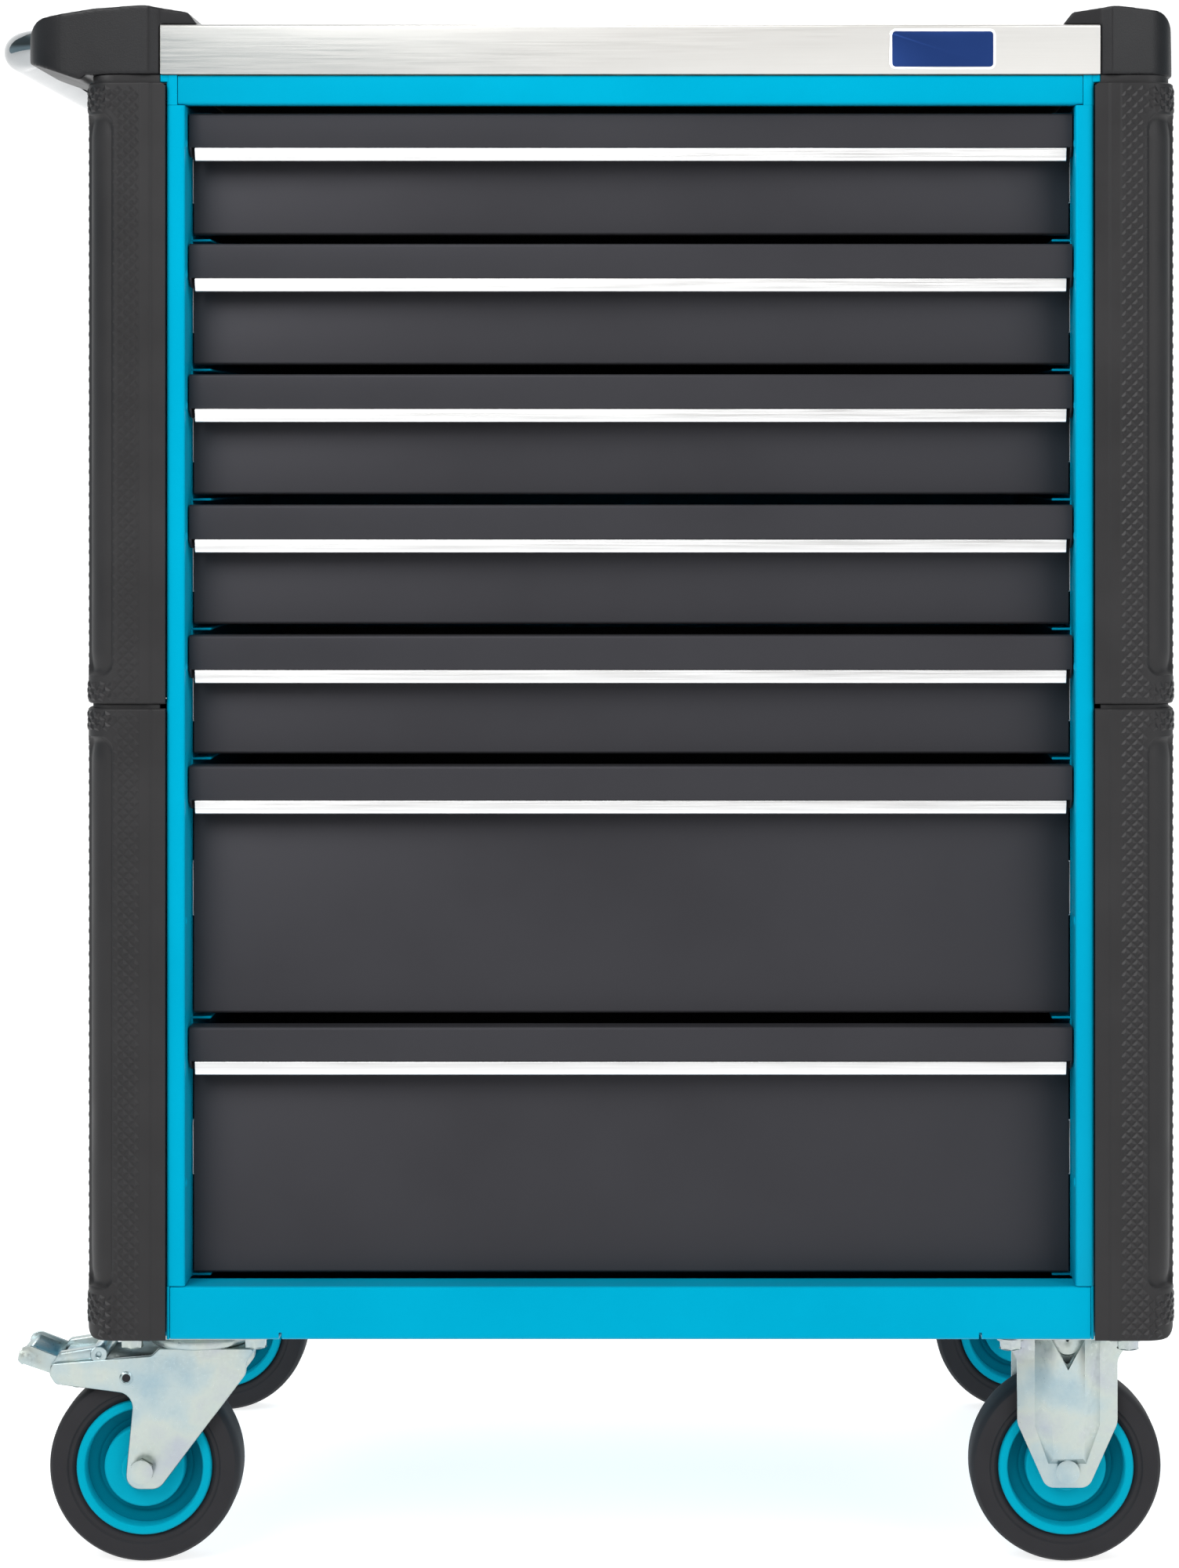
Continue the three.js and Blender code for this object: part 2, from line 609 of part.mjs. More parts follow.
const cap = (side, end) => {
  const left = side < 0;
  const reach = left ? guardOuter + NOSE_REACH : guardOuter;
  const depth = left ? NOSE_DEPTH : CAP_DEPTH;
  const underNose = [
    [guardOuter, capBottom],
    [guardOuter + NOSE_CHIN_OUT, capBottom - NOSE_CHIN_DROP],
    [reach, handleAxisZ - HANDLE_DIAMETER / 2 - NOSE_WALL, CAP_EDGE_RADIUS],
  ];
  const underCap = [[reach, capBottom]];
  const face = alongY(
    mirrorX(capFace(left ? underNose : underCap, reach, left ? NOSE_SHOULDER : CAP_SHOULDER), side),
    -CABINET_DEPTH,
    CABINET_DEPTH,
  );
  const plan = alongZ(
    mirrorXY(capPlan(reach, depth, left ? NOSE_CORNER : CAP_CORNER), side, -end),
    capBottom - NOSE_CHIN_DROP - LAP,
    worktopTop + CAP_RISE + LAP,
  );
  const solid = face.intersect(plan);
  return left ? cut(solid, [handleSeatCut]) : solid;
};
for (const [place, side, end] of corners) {
  addPart(chest, `cap_${place}`, cap(side, end), blackPlastic);
}

// ---------------------------------------------------------------- drawers
// z = 0 is the top edge of the drawer's front
const drawer = (height) => {
  const face = behind(UPPER_FACE_SETBACK);
  const panel = behind(LOWER_FACE_SETBACK);
  const lowerHalf = frontHalf - LOWER_FACE_INSET;
  const trayFront = panel + FRONT_SHEET / 2;
  const trayBack = trayFront + trayDepth;
  const floor = -height + TRAY_LIFT;
  const rim = -TRAY_RIM_DROP;
  const centre = -height / 2;
  const cheek = outline([
    [face, 0],
    [panel + FRONT_SHEET, 0],
    [panel + FRONT_SHEET, -UPPER_FACE_HEIGHT - CHEEK_DROP],
    [face + CHEEK_DROP, -UPPER_FACE_HEIGHT - CHEEK_DROP],
    [face, -UPPER_FACE_HEIGHT],
  ]);
  const pieces = [
    block(-frontHalf, frontHalf, face, face + FRONT_SHEET, -UPPER_FACE_HEIGHT, 0),
    block(-frontHalf, frontHalf, face, panel + FRONT_SHEET, -FRONT_SHEET, 0),
    block(-lowerHalf, lowerHalf, panel, panel + FRONT_SHEET, -height, 0),
    block(-trayHalf, trayHalf, panel, panel + FRONT_HEM, -height, -height + FRONT_SHEET),
    block(-trayHalf, trayHalf, trayFront, trayFront + FRONT_SHEET, -height, 0),
    block(-trayHalf, trayHalf, trayFront, trayBack, floor, floor + TRAY_SHEET),
    block(-trayHalf, trayHalf, trayBack - TRAY_SHEET, trayBack, floor, rim),
  ];
  for (const side of [-1, 1]) {
    pieces.push(alongX(cheek, side * frontHalf, side * (frontHalf - FRONT_SHEET)));
    pieces.push(block(side * trayHalf, side * (trayHalf - TRAY_SHEET), trayFront, trayBack, floor, rim));
    for (const edge of [-1, 1]) {
      const lip = centre + edge * innerHeight / 2;
      pieces.push(block(side * (trayHalf - TRAY_SHEET / 2), side * innerTip, slideFront, trayBack, lip,
        lip - edge * SLIDE_SHEET));
    }
  }
  return unite(pieces);
};

const gripHalf = frontHalf - GRIP_END_INSET;
const grip = () => {
  const face = behind(UPPER_FACE_SETBACK);
  const top = -UPPER_FACE_HEIGHT - GAP;
  const bottom = top - GRIP_HEIGHT;
  const front = face - GRIP_PROUD;
  const back = front + GRIP_THICKNESS;
  const tongue = face + FRONT_SHEET + GAP;
  return alongX(outline([
    [front + GRIP_LEAN, top],
    [front, bottom, GRIP_EDGE_RADIUS],
    [back, bottom],
    [back, top + GRIP_TONGUE],
    [tongue, top + GRIP_TONGUE],
    [tongue, top],
  ], 3), -gripHalf, gripHalf);
};

const slideMiddle = (side) => {
  const front = slideFront + 2 * SLIDE_STAGGER;
  return slideMember(side, middleWeb, lipEnd, middleHeight, front, front + slideLength, 0);
};

frontTops.forEach((top, i) => {
  const number = i + 1;
  const centre = top + slideCentre(pitches[i]);
  addPart(chest, `drawer_${number}`, drawer(frontHeight(pitches[i])), anthracitePaint, 0, 0, top);
  addPart(chest, `drawer_grip_${number}`, grip(), brightAluminium, 0, 0, top);
  addPart(chest, `slide_left_${number}`, slideMiddle(-1), zincPlate, 0, 0, centre);
  addPart(chest, `slide_right_${number}`, slideMiddle(1), zincPlate, 0, 0, centre);
});

// ---------------------------------------------------------------- casters
const forkInner = HUB_LENGTH / 2 + GAP;
const forkOuter = forkInner + FORK_SHEET;

// Wheel about its axle: tyre moulded on the rim, raised ring, sunk web and hub
const wheel = () => {
  const rimRadius = wheelRadius - TYRE_THICKNESS;
  const bore = AXLE_DIAMETER / 2 + AXLE_CLEARANCE;
  const half = WHEEL_WIDTH / 2;
  const web = WEB_THICKNESS / 2;
  const hub = HUB_LENGTH / 2;
  const profile = [
    [bore, -hub],
    [HUB_BOSS_DIAMETER / 2, -hub],
    [HUB_DIAMETER / 2, -web],
    [rimRadius - RIM_RING, -web],
    [rimRadius, -half],
    [wheelRadius - TYRE_SHOULDER_IN, -half],
    [wheelRadius, -half + TYRE_SHOULDER_DOWN],
  ];
  const mirrored = profile.map(([r, y]) => [r, -y]).reverse();
  const loop = [...profile, ...mirrored, profile[0]].map(([r, y]) => new THREE.Vector2(r, y));
  return toManifold(new THREE.LatheGeometry(loop, ROUND_SEGMENTS));
};

const axle = (x) => unite([
  barY(AXLE_DIAMETER, -forkOuter - LAP, forkOuter + LAP, x, wheelRadius, 20),
  barY(AXLE_HEAD, -forkOuter - AXLE_HEAD_HEIGHT, -forkOuter + LAP, x, wheelRadius, 6),
  barY(AXLE_HEAD, forkOuter - LAP, forkOuter + AXLE_HEAD_HEIGHT, x, wheelRadius, 6),
]);

// Both cheeks of a fork or bracket, from one outline
const cheeks = (points) => [
  alongY(points, -forkOuter, -forkInner),
  alongY(points, forkInner, forkOuter),
];

const flatPlate = (length) => alongZ(outline([
  [-length / 2, -PLATE_WIDTH / 2, PLATE_CORNER],
  [length / 2, -PLATE_WIDTH / 2, PLATE_CORNER],
  [length / 2, PLATE_WIDTH / 2, PLATE_CORNER],
  [-length / 2, PLATE_WIDTH / 2, PLATE_CORNER],
]), plateUnder, casterHeight);

// Top plate of a swivel caster with its ball race
const topPlate = () => unite([
  flatPlate(PLATE_LENGTH),
  barZ(RACE_DIAMETER, crownTop + GAP, plateUnder + LAP, 0, 0),
]);

const pivotRadius = wheelRadius + PEDAL_PIVOT_GAP;
const pivotX = -TRAIL - pivotRadius * Math.cos(PEDAL_PIVOT_ANGLE);
const pivotZ = wheelRadius + pivotRadius * Math.sin(PEDAL_PIVOT_ANGLE);

const fork = () => {
  const axleX = -TRAIL;
  const right = RACE_DIAMETER / 2 + FORK_REACH;
  const armEnd = pivotX - PEDAL_BARREL;
  const face = outline([
    [right, crownTop],
    [right - FORK_SKIRT_LEAN, crownUnder - FORK_SKIRT, FORK_SKIRT_RADIUS],
    [axleX + FORK_TOE_FRONT, wheelRadius - FORK_TOE_DROP, FORK_TOE_RADIUS],
    [axleX - FORK_TOE_REAR, wheelRadius - FORK_TOE_DROP, FORK_TOE_RADIUS],
    [axleX - FORK_ROOT, pivotZ - PEDAL_BARREL, FORK_TOE_RADIUS],
    [armEnd, pivotZ - PEDAL_BARREL, FORK_ARM_RADIUS],
    [armEnd, pivotZ + PEDAL_BARREL, FORK_ARM_RADIUS],
    [axleX - FORK_SHOULDER, crownTop, FORK_SHOULDER_RADIUS],
  ]);
  const pin = barY(PEDAL_BARREL / 2, -forkInner - LAP, forkInner + LAP, pivotX, pivotZ, 16);
  return unite([
    ...cheeks(face),
    block(axleX - FORK_CROWN_REAR, right, -forkOuter, forkOuter, crownUnder, crownTop),
    pin,
    axle(axleX),
  ]);
};

// Brake pedal: a barrel on the fork's pin and a leaf that rises away from the wheel
const pedal = () => {
  const half = forkInner - PEDAL_SIDE_CLEARANCE;
  const tipX = -PEDAL_LENGTH;
  const leaf = outline([
    [0, PEDAL_BARREL / 2],
    [-PEDAL_BARREL / 2, 0],
    [tipX, PEDAL_LIFT],
    [tipX - PEDAL_LEAF / 2, PEDAL_LIFT + PEDAL_LEAF],
  ]);
  return cut(unite([
    barY(PEDAL_BARREL, -half, half, 0, 0, 20),
    alongY(leaf, -half, half),
  ]), [barY(PEDAL_BARREL / 2 + 2 * AXLE_CLEARANCE, -HUB_LENGTH, HUB_LENGTH, 0, 0, 16)]);
};

const fixedBracket = () => {
  const half = BRACKET_WIDTH / 2;
  const shoulder = wheelRadius + BRACKET_SHOULDER;
  const toe = wheelRadius - BRACKET_TOE_DROP;
  const face = outline([
    [-half - BRACKET_FLARE, casterHeight],
    [-half, casterHeight - BRACKET_FLARE_HEIGHT, BRACKET_FLARE_RADIUS],
    [-half, shoulder, BRACKET_SHOULDER_RADIUS],
    [-BRACKET_TOE_HALF, toe, BRACKET_TOE_RADIUS],
    [BRACKET_TOE_HALF, toe, BRACKET_TOE_RADIUS],
    [half, shoulder, BRACKET_SHOULDER_RADIUS],
    [half, casterHeight - BRACKET_FLARE_HEIGHT, BRACKET_FLARE_RADIUS],
    [half + BRACKET_FLARE, casterHeight],
  ]);
  return unite([
    ...cheeks(face),
    flatPlate(BRACKET_PLATE_LENGTH),
    axle(0),
  ]);
};

for (const [place, side, end] of corners) {
  const caster = new THREE.Group();
  caster.position.set(side * casterX, end * casterY, 0);
  chest.add(caster);
  if (side < 0) {
    addPart(caster, `caster_plate_${place}`, topPlate(), zincPlate);
    addPart(caster, `caster_fork_${place}`, fork(), zincPlate);
    addPart(caster, `brake_pedal_${place}`, pedal(), zincPlate, pivotX, 0, pivotZ);
    addPart(caster, `wheel_${place}`, wheel(), wheelRubber, -TRAIL, 0, wheelRadius);
  } else {
    addPart(caster, `caster_bracket_${place}`, fixedBracket(), zincPlate);
    addPart(caster, `wheel_${place}`, wheel(), wheelRubber, 0, 0, wheelRadius);
  }
}

// ---------------------------------------------------------------- frame
// The origin stands on the floor under the middle of the whole chest, handle included
const handleOuter = handleAxisX - HANDLE_DIAMETER / 2;
chest.position.x = -(handleOuter + guardOuter) / 2;
const placed = new THREE.Group();
placed.add(chest);

export default placed;
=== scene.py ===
"""Looks of the rolling tool chest: folded sheet, moulded guards and caps, chrome handle, casters."""

import math

import bmesh
import bpy
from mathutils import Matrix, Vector


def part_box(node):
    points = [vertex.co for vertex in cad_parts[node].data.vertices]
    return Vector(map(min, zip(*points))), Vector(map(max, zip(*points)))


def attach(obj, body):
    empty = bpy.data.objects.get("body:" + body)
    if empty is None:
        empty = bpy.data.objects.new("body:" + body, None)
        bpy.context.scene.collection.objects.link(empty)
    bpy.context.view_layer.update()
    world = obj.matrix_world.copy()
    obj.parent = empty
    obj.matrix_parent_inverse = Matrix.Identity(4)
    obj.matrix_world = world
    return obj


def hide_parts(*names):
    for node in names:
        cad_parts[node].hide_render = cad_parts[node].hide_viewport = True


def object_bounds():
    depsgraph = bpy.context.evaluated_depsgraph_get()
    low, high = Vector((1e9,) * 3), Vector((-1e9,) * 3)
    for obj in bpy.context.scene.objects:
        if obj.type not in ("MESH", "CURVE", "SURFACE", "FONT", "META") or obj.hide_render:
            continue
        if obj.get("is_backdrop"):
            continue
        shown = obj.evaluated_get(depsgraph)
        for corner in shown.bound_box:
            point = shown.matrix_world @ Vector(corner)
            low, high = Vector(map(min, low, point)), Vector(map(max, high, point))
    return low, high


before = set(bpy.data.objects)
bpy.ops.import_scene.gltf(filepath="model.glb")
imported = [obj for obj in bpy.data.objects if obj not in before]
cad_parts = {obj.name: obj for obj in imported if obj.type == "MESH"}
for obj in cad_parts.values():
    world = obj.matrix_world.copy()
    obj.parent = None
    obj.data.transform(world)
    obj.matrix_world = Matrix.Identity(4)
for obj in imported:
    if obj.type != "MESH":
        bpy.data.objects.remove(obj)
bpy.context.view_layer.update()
scene = bpy.context.scene
METRE = 1000.0  # the pieces are drawn in millimetres


def span(node):
    """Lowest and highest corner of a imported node, in millimetres, measured from the chest's middle."""
    low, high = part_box(node)
    return low * METRE - MIDDLE, high * METRE - MIDDLE


low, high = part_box("worktop")
MIDDLE = Vector(((low.x + high.x) / 2 * METRE, 0, 0))

# -------------------- finishes


def add(tree, kind, **inputs):
    """New node in the tree, with each named input set to a value or linked to an output."""
    node = tree.nodes.new(kind)
    for label, given in inputs.items():
        socket = node.inputs[label.replace("_", " ")]
        if isinstance(given, bpy.types.NodeSocket):
            tree.links.new(given, socket)
        else:
            socket.default_value = given
    return node


def ramp(tree, source, *stops):
    """Colour ramp from (position, colour) stops."""
    node = add(tree, "ShaderNodeValToRGB", Fac=source)
    elements = node.color_ramp.elements
    while len(elements) < len(stops):
        elements.new(0.5)
    for element, (position, colour) in zip(elements, stops):
        element.position = position
        element.color = (*colour, 1)
    return node.outputs["Color"]


class Finish:
    """Principled finish with these socket values, whose patterns lie in the piece's own coordinates."""

    def __init__(self, name, **values):
        self.material = bpy.data.materials.new(name)
        self.material.use_nodes = True
        self.tree = self.material.node_tree
        self.sockets = self.tree.nodes["Principled BSDF"].inputs
        for label, value in values.items():
            self.sockets[label.replace("_", " ")].default_value = value
        self.material.diffuse_color = self.sockets["Base Color"].default_value

    def pattern(self, kind, size, stretch=(1, 1, 1)):
        """Texture with features of about size millimetres."""
        place = add(self.tree, "ShaderNodeTexCoord").outputs["Object"]
        mapping = add(self.tree, "ShaderNodeMapping", Vector=place, Scale=stretch)
        return add(self.tree, kind, Vector=mapping.outputs["Vector"], Scale=METRE / size)

    def noise(self, size, detail, stretch=(1, 1, 1)):
        texture = self.pattern("ShaderNodeTexNoise", size, stretch)
        texture.inputs["Detail"].default_value = detail
        return texture.outputs["Fac"]

    def colour(self, source, *stops):
        self.tree.links.new(ramp(self.tree, source, *stops), self.sockets["Base Color"])

    def roughness(self, source, least, most):
        limits = {"From_Min": 0.3, "From_Max": 0.7, "To_Min": least, "To_Max": most}
        spread = add(self.tree, "ShaderNodeMapRange", Value=source, **limits)
        self.tree.links.new(spread.outputs["Result"], self.sockets["Roughness"])

    def relief(self, source, depth, strength=1.0):
        """Bump of that depth in millimetres."""
        bump = add(self.tree, "ShaderNodeBump", Height=source, Distance=depth / METRE, Strength=strength)
        self.tree.links.new(bump.outputs["Normal"], self.sockets["Normal"])


def powder_coat(name, colour, deeper, roughness, gloss):
    """Baked powder paint: fine orange peel, slightly uneven gloss, faint dust."""
    paint = Finish(name, Base_Color=(*colour, 1), Roughness=roughness, Specular_IOR_Level=gloss)
    paint.sockets["Specular Tint"].default_value = (*(c / max(colour) for c in colour), 1)
    cloud = paint.noise(90, 4.0)
    paint.colour(cloud, (0.3, deeper), (0.7, colour))
    paint.roughness(cloud, roughness - 0.05, roughness + 0.07)
    paint.relief(paint.noise(1.1, 2.0), 0.05, 0.5)
    return paint.material


def moulded_plastic(name, colour, roughness, grain, depth):
    """Injection-moulded plastic with a leather-like spark grain."""
    plastic = Finish(name, Base_Color=(*colour, 1), Roughness=roughness, Specular_IOR_Level=0.26)
    cloud = plastic.noise(45, 5.0)
    plastic.colour(cloud, (0.35, colour), (0.75, tuple(c * 1.25 + 0.002 for c in colour)))
    plastic.roughness(cloud, roughness - 0.06, roughness + 0.06)
    plastic.relief(plastic.pattern("ShaderNodeTexVoronoi", grain).outputs["Distance"], depth, 0.6)
    return plastic.material


def brushed_metal(name, colour, darker, roughness, along):
    """Metal brushed in one direction: fine streaks in colour, roughness and height."""
    metal = Finish(name, Base_Color=(*colour, 1), Metallic=1.0, Roughness=roughness, Anisotropic=0.3)
    streaks = metal.noise(0.7, 4.0, [0.012 if axis == along else 1.0 for axis in "XYZ"])
    metal.colour(streaks, (0.3, darker), (0.7, colour))
    metal.roughness(streaks, roughness - 0.06, roughness + 0.08)
    metal.relief(streaks, 0.02, 0.35)
    return metal.material


def zinc_coat():
    """Blue-passivated zinc on pressed steel: cold tint drifting to faint straw and violet."""
    zinc = Finish("zinc_coat", Metallic=1.0, Roughness=0.33)
    cold, pale = (0.33, 0.44, 0.485), (0.43, 0.51, 0.515)
    straw, violet = (0.485, 0.535, 0.50), (0.42, 0.45, 0.50)
    zinc.colour(zinc.noise(38, 5.0), (0.30, cold), (0.45, pale), (0.55, straw), (0.72, violet))
    frost = zinc.noise(2.2, 4.0)
    zinc.roughness(frost, 0.26, 0.46)
    zinc.relief(frost, 0.04, 0.4)
    return zinc.material


def polished_chrome():
    chrome = Finish("polished_chrome", Base_Color=(0.35, 0.365, 0.375, 1), Metallic=1.0, Roughness=0.07)
    smear = chrome.noise(30, 5.0)
    chrome.colour(smear, (0.3, (0.32, 0.335, 0.345)), (0.7, (0.38, 0.395, 0.405)))
    chrome.roughness(smear, 0.04, 0.11)
    return chrome.material


def tyre_rubber():
    rubber = Finish("tyre_rubber", Base_Color=(0.015, 0.0147, 0.017, 1), Roughness=0.7, Specular_IOR_Level=0.25)
    bloom = rubber.noise(26, 6.0)
    rubber.colour(bloom, (0.32, (0.0125, 0.012, 0.0142)), (0.72, (0.020, 0.0195, 0.022)))
    rubber.roughness(bloom, 0.6, 0.8)
    rubber.relief(rubber.noise(0.9, 3.0), 0.06, 0.6)
    return rubber.material


def pressed_board():
    board = Finish("pressed_board", Base_Color=(0.42, 0.3, 0.18, 1), Roughness=0.85)
    chips = board.noise(4, 6.0, (0.4, 1, 1))
    board.colour(chips, (0.35, (0.28, 0.19, 0.10)), (0.65, (0.5, 0.37, 0.23)))
    board.relief(chips, 0.2)
    return board.material


CYAN_PAINT = powder_coat("cyan_powder_coat", (0.0, 0.305, 0.47), (0.0, 0.285, 0.445), 0.42, 0.35)
ANTHRACITE = powder_coat("anthracite_powder_coat", (0.0235, 0.0232, 0.026), (0.0195, 0.0192, 0.0215), 0.5, 0.3)
GUARD_PLASTIC = moulded_plastic("guard_plastic", (0.0145, 0.0138, 0.0145), 0.5, 0.9, 0.06)
CAP_PLASTIC = moulded_plastic("cap_plastic", (0.0080, 0.0078, 0.0088), 0.44, 0.9, 0.06)
KNURL_PLASTIC = moulded_plastic("knurl_plastic", (0.0150, 0.0142, 0.0150), 0.42, 0.7, 0.03)
RIM_PLASTIC = powder_coat("rim_plastic", (0.001, 0.30, 0.42), (0.001, 0.28, 0.395), 0.4, 0.3)
# the wheels' sunk webs get a much darker cyan than the rim: painted shade of their recess
RIM_WEB_SHADE_PAINT = powder_coat("rim_web_painted_shade", (0.0, 0.13, 0.19), (0.0, 0.115, 0.17), 0.45, 0.3)
BADGE_BLUE = powder_coat("badge_enamel", (0.012, 0.030, 0.115), (0.010, 0.026, 0.10), 0.3, 0.4)
STAINLESS = brushed_metal("brushed_stainless", (0.66, 0.645, 0.62), (0.63, 0.615, 0.59), 0.4, "X")
GRIP_METAL = brushed_metal("anodised_aluminium", (0.93, 0.93, 0.93), (0.85, 0.85, 0.85), 0.34, "X")
SLIDE_STEEL = brushed_metal("bright_slide_steel", (0.72, 0.74, 0.75), (0.58, 0.6, 0.61), 0.32, "Y")
ZINC = zinc_coat()
CHROME = polished_chrome()
RUBBER = tyre_rubber()
BOARD = pressed_board()

# -------------------- drawing helpers
LAYOUT = {
    "X": lambda u, v, t: (t, u, v),
    "Y": lambda u, v, t: (u, t, v),
    "Z": lambda u, v, t: (u, v, t),
}


def rounded(corners, steps=6):
    """Outline from corners (a, b) or (a, b, radius)."""
    line = []
    for i, corner in enumerate(corners):
        at = Vector(corner[:2])
        radius = corner[2] if len(corner) > 2 else 0
        if not radius:
            line.append(at)
            continue
        before = (Vector(corners[i - 1][:2]) - at).normalized()
        after = (Vector(corners[(i + 1) % len(corners)][:2]) - at).normalized()
        half = before.angle(after) / 2
        centre = at + (before + after).normalized() * (radius / math.sin(half))
        first = at + before * (radius / math.tan(half)) - centre
        last = at + after * (radius / math.tan(half)) - centre
        sweep = math.atan2(first.x * last.y - first.y * last.x, first.dot(last))
        for k in range(steps + 1):
            turn = sweep * k / steps
            cos, sin = math.cos(turn), math.sin(turn)
            line.append(centre + Vector((first.x * cos - first.y * sin, first.x * sin + first.y * cos)))
    return line


def rectangle(a0, a1, b0, b1, radius):
    return rounded([(a0, b0, radius), (a1, b0, radius), (a1, b1, radius), (a0, b1, radius)])


def mirrored(points, a=1, b=1):
    return [Vector((p[0] * a, p[1] * b)) for p in points]


def skin(shape, rings, closed=False):
    """Skin over equal rings of points: joined round on itself when closed, else with its two ends filled."""
    rows = [[shape.verts.new(p) for p in ring] for ring in rings]
    for k in range(0 if closed else 1, len(rows)):
        a, b = rows[k - 1], rows[k]
        for i in range(len(a)):
            shape.faces.new((a[i - 1], a[i], b[i], b[i - 1]))
    if not closed:
        shape.faces.new(rows[0])
        shape.faces.new(rows[-1])


def prism(shape, points, axis, start, end):
    """Outline drawn out along an axis: X takes (y, z), Y takes (x, z), Z takes (x, y)."""
    put = LAYOUT[axis]
    skin(shape, [[put(p[0], p[1], t) for p in points] for t in (start, end)])


def block(shape, x0, x1, y0, y1, z0, z1):
    prism(shape, [(x0, y0), (x1, y0), (x1, y1), (x0, y1)], "Z", z0, z1)


def turned(shape, profile, x, y, z, segments):
    """Closed (radius, depth) profile turned about an axle that runs along Y."""
    rings = []
    for k in range(segments):
        angle = 2 * math.pi * k / segments
        cos, sin = math.cos(angle), math.sin(angle)
        rings.append([(x + r * cos, y + d, z + r * sin) for r, d in profile])
    skin(shape, rings, closed=True)


def to_object(shape, name):
    """Mesh object in metres, in the chest's frame, with its faces pointing out."""
    bmesh.ops.recalc_face_normals(shape, faces=shape.faces)
    for vertex in shape.verts:
        vertex.co = (vertex.co + MIDDLE) / METRE
    mesh = bpy.data.meshes.new(name)
    shape.to_mesh(mesh)
    shape.free()
    piece = bpy.data.objects.new(name, mesh)
    scene.collection.objects.link(piece)
    return piece


def settle(piece, material, smooth=32):
    """Turns the modified piece into one plain mesh with that finish."""
    graph = bpy.context.evaluated_depsgraph_get()
    mesh = bpy.data.meshes.new_from_object(piece.evaluated_get(graph))
    piece.modifiers.clear()
    piece.data = mesh
    mesh.name = piece.name
    mesh.materials.clear()
    mesh.materials.append(material)
    mesh.shade_smooth()
    if smooth < 180:
        mesh.set_sharp_from_angle(angle=math.radians(smooth))
    return piece


def fit(piece, body, slot, *nodes):
    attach(piece, body)
    if nodes:
        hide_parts(*nodes)


def bevel_edges(piece, edge, segments):
    bevel = piece.modifiers.new("edges", "BEVEL")
    bevel.width = edge / METRE
    bevel.segments = segments
    bevel.limit_method = "ANGLE"
    bevel.angle_limit = math.radians(38)
    bevel.harden_normals = True


def pressed(shape, name, material, edge=0.4, segments=2, smooth=32):
    """Piece with its sharp edges rounded off by edge millimetres."""
    piece = to_object(shape, name)
    bevel_edges(piece, edge, segments)
    return settle(piece, material, smooth)


def cut_with(piece, shape, name, operation):
    """Boolean of the piece with a drawn tool, as a modifier; returns the tool to remove afterwards."""
    tool = to_object(shape, name)
    tool.hide_render = True
    cut = piece.modifiers.new(name, "BOOLEAN")
    cut.operation = operation
    cut.object = tool
    cut.solver = "EXACT"
    return tool


# -------------------- repeated small parts


def small_part_tree(name, inputs, build):
    """Geometry tree that sets one small part on every point, its top along the point's own outward direction."""
    tree = bpy.data.node_groups.new(name, "GeometryNodeTree")
    face = tree.interface
    face.new_socket("Points", in_out="INPUT", socket_type="NodeSocketGeometry")
    for label, value in inputs.items():
        face.new_socket(label, in_out="INPUT", socket_type="NodeSocketFloat").default_value = value
    face.new_socket("Finish", in_out="INPUT", socket_type="NodeSocketMaterial")
    face.new_socket("Parts", in_out="OUTPUT", socket_type="NodeSocketGeometry")
    given = add(tree, "NodeGroupInput").outputs
    outward = add(tree, "GeometryNodeInputNamedAttribute", Name="outward")
    outward.data_type = "FLOAT_VECTOR"
    turn = add(tree, "FunctionNodeAlignRotationToVector", Vector=outward.outputs["Attribute"])
    turn.axis = "Z"
    places = {"Points": given["Points"], "Rotation": turn.outputs["Rotation"]}
    instances = add(tree, "GeometryNodeInstanceOnPoints", Instance=build(tree, given), **places)
    real = add(tree, "GeometryNodeRealizeInstances", Geometry=instances.outputs["Instances"])
    coat = add(tree, "GeometryNodeSetMaterial", Geometry=real.outputs["Geometry"], Material=given["Finish"])
    add(tree, "NodeGroupOutput", Parts=coat.outputs["Geometry"])
    return tree


def cone(tree, sides, foot, top, height):
    """Cone or cylinder whose sizes come from the tree's named inputs."""
    node = add(tree, "GeometryNodeMeshCone", Vertices=sides, Radius_Bottom=foot, Radius_Top=top, Depth=height)
    return node.outputs["Mesh"]


def build_stud(tree, given):
    return cone(tree, 4, given["Foot Radius"], given["Top Radius"], given["Height"])


def raised(tree, part, height, turn=0.0):
    """The part turned and then lifted by the height that a socket gives."""
    lift = add(tree, "ShaderNodeCombineXYZ", Z=height).outputs["Vector"]
    move = add(tree, "GeometryNodeTransform", Geometry=part, Translation=lift, Rotation=(0, 0, turn))
    return move.outputs["Geometry"]


def build_hex_bolt(tree, given):
    foot, height, top = given["Washer Height"], given["Head Height"], given["Head Top Radius"]
    washer = cone(tree, 24, given["Washer Radius"], given["Washer Radius"], foot)
    head = cone(tree, 6, given["Head Radius"], top, height)
    crown = cone(tree, 24, top, given["Crown Radius"], given["Crown Height"])
    head_top = tree.nodes.new("ShaderNodeMath")
    tree.links.new(foot, head_top.inputs[0])
    tree.links.new(height, head_top.inputs[1])
    bolt = tree.nodes.new("GeometryNodeJoinGeometry")
    for part in (washer, raised(tree, head, foot, math.pi / 6), raised(tree, crown, head_top.outputs["Value"])):
        tree.links.new(part, bolt.inputs["Geometry"])
    return bolt.outputs["Geometry"]


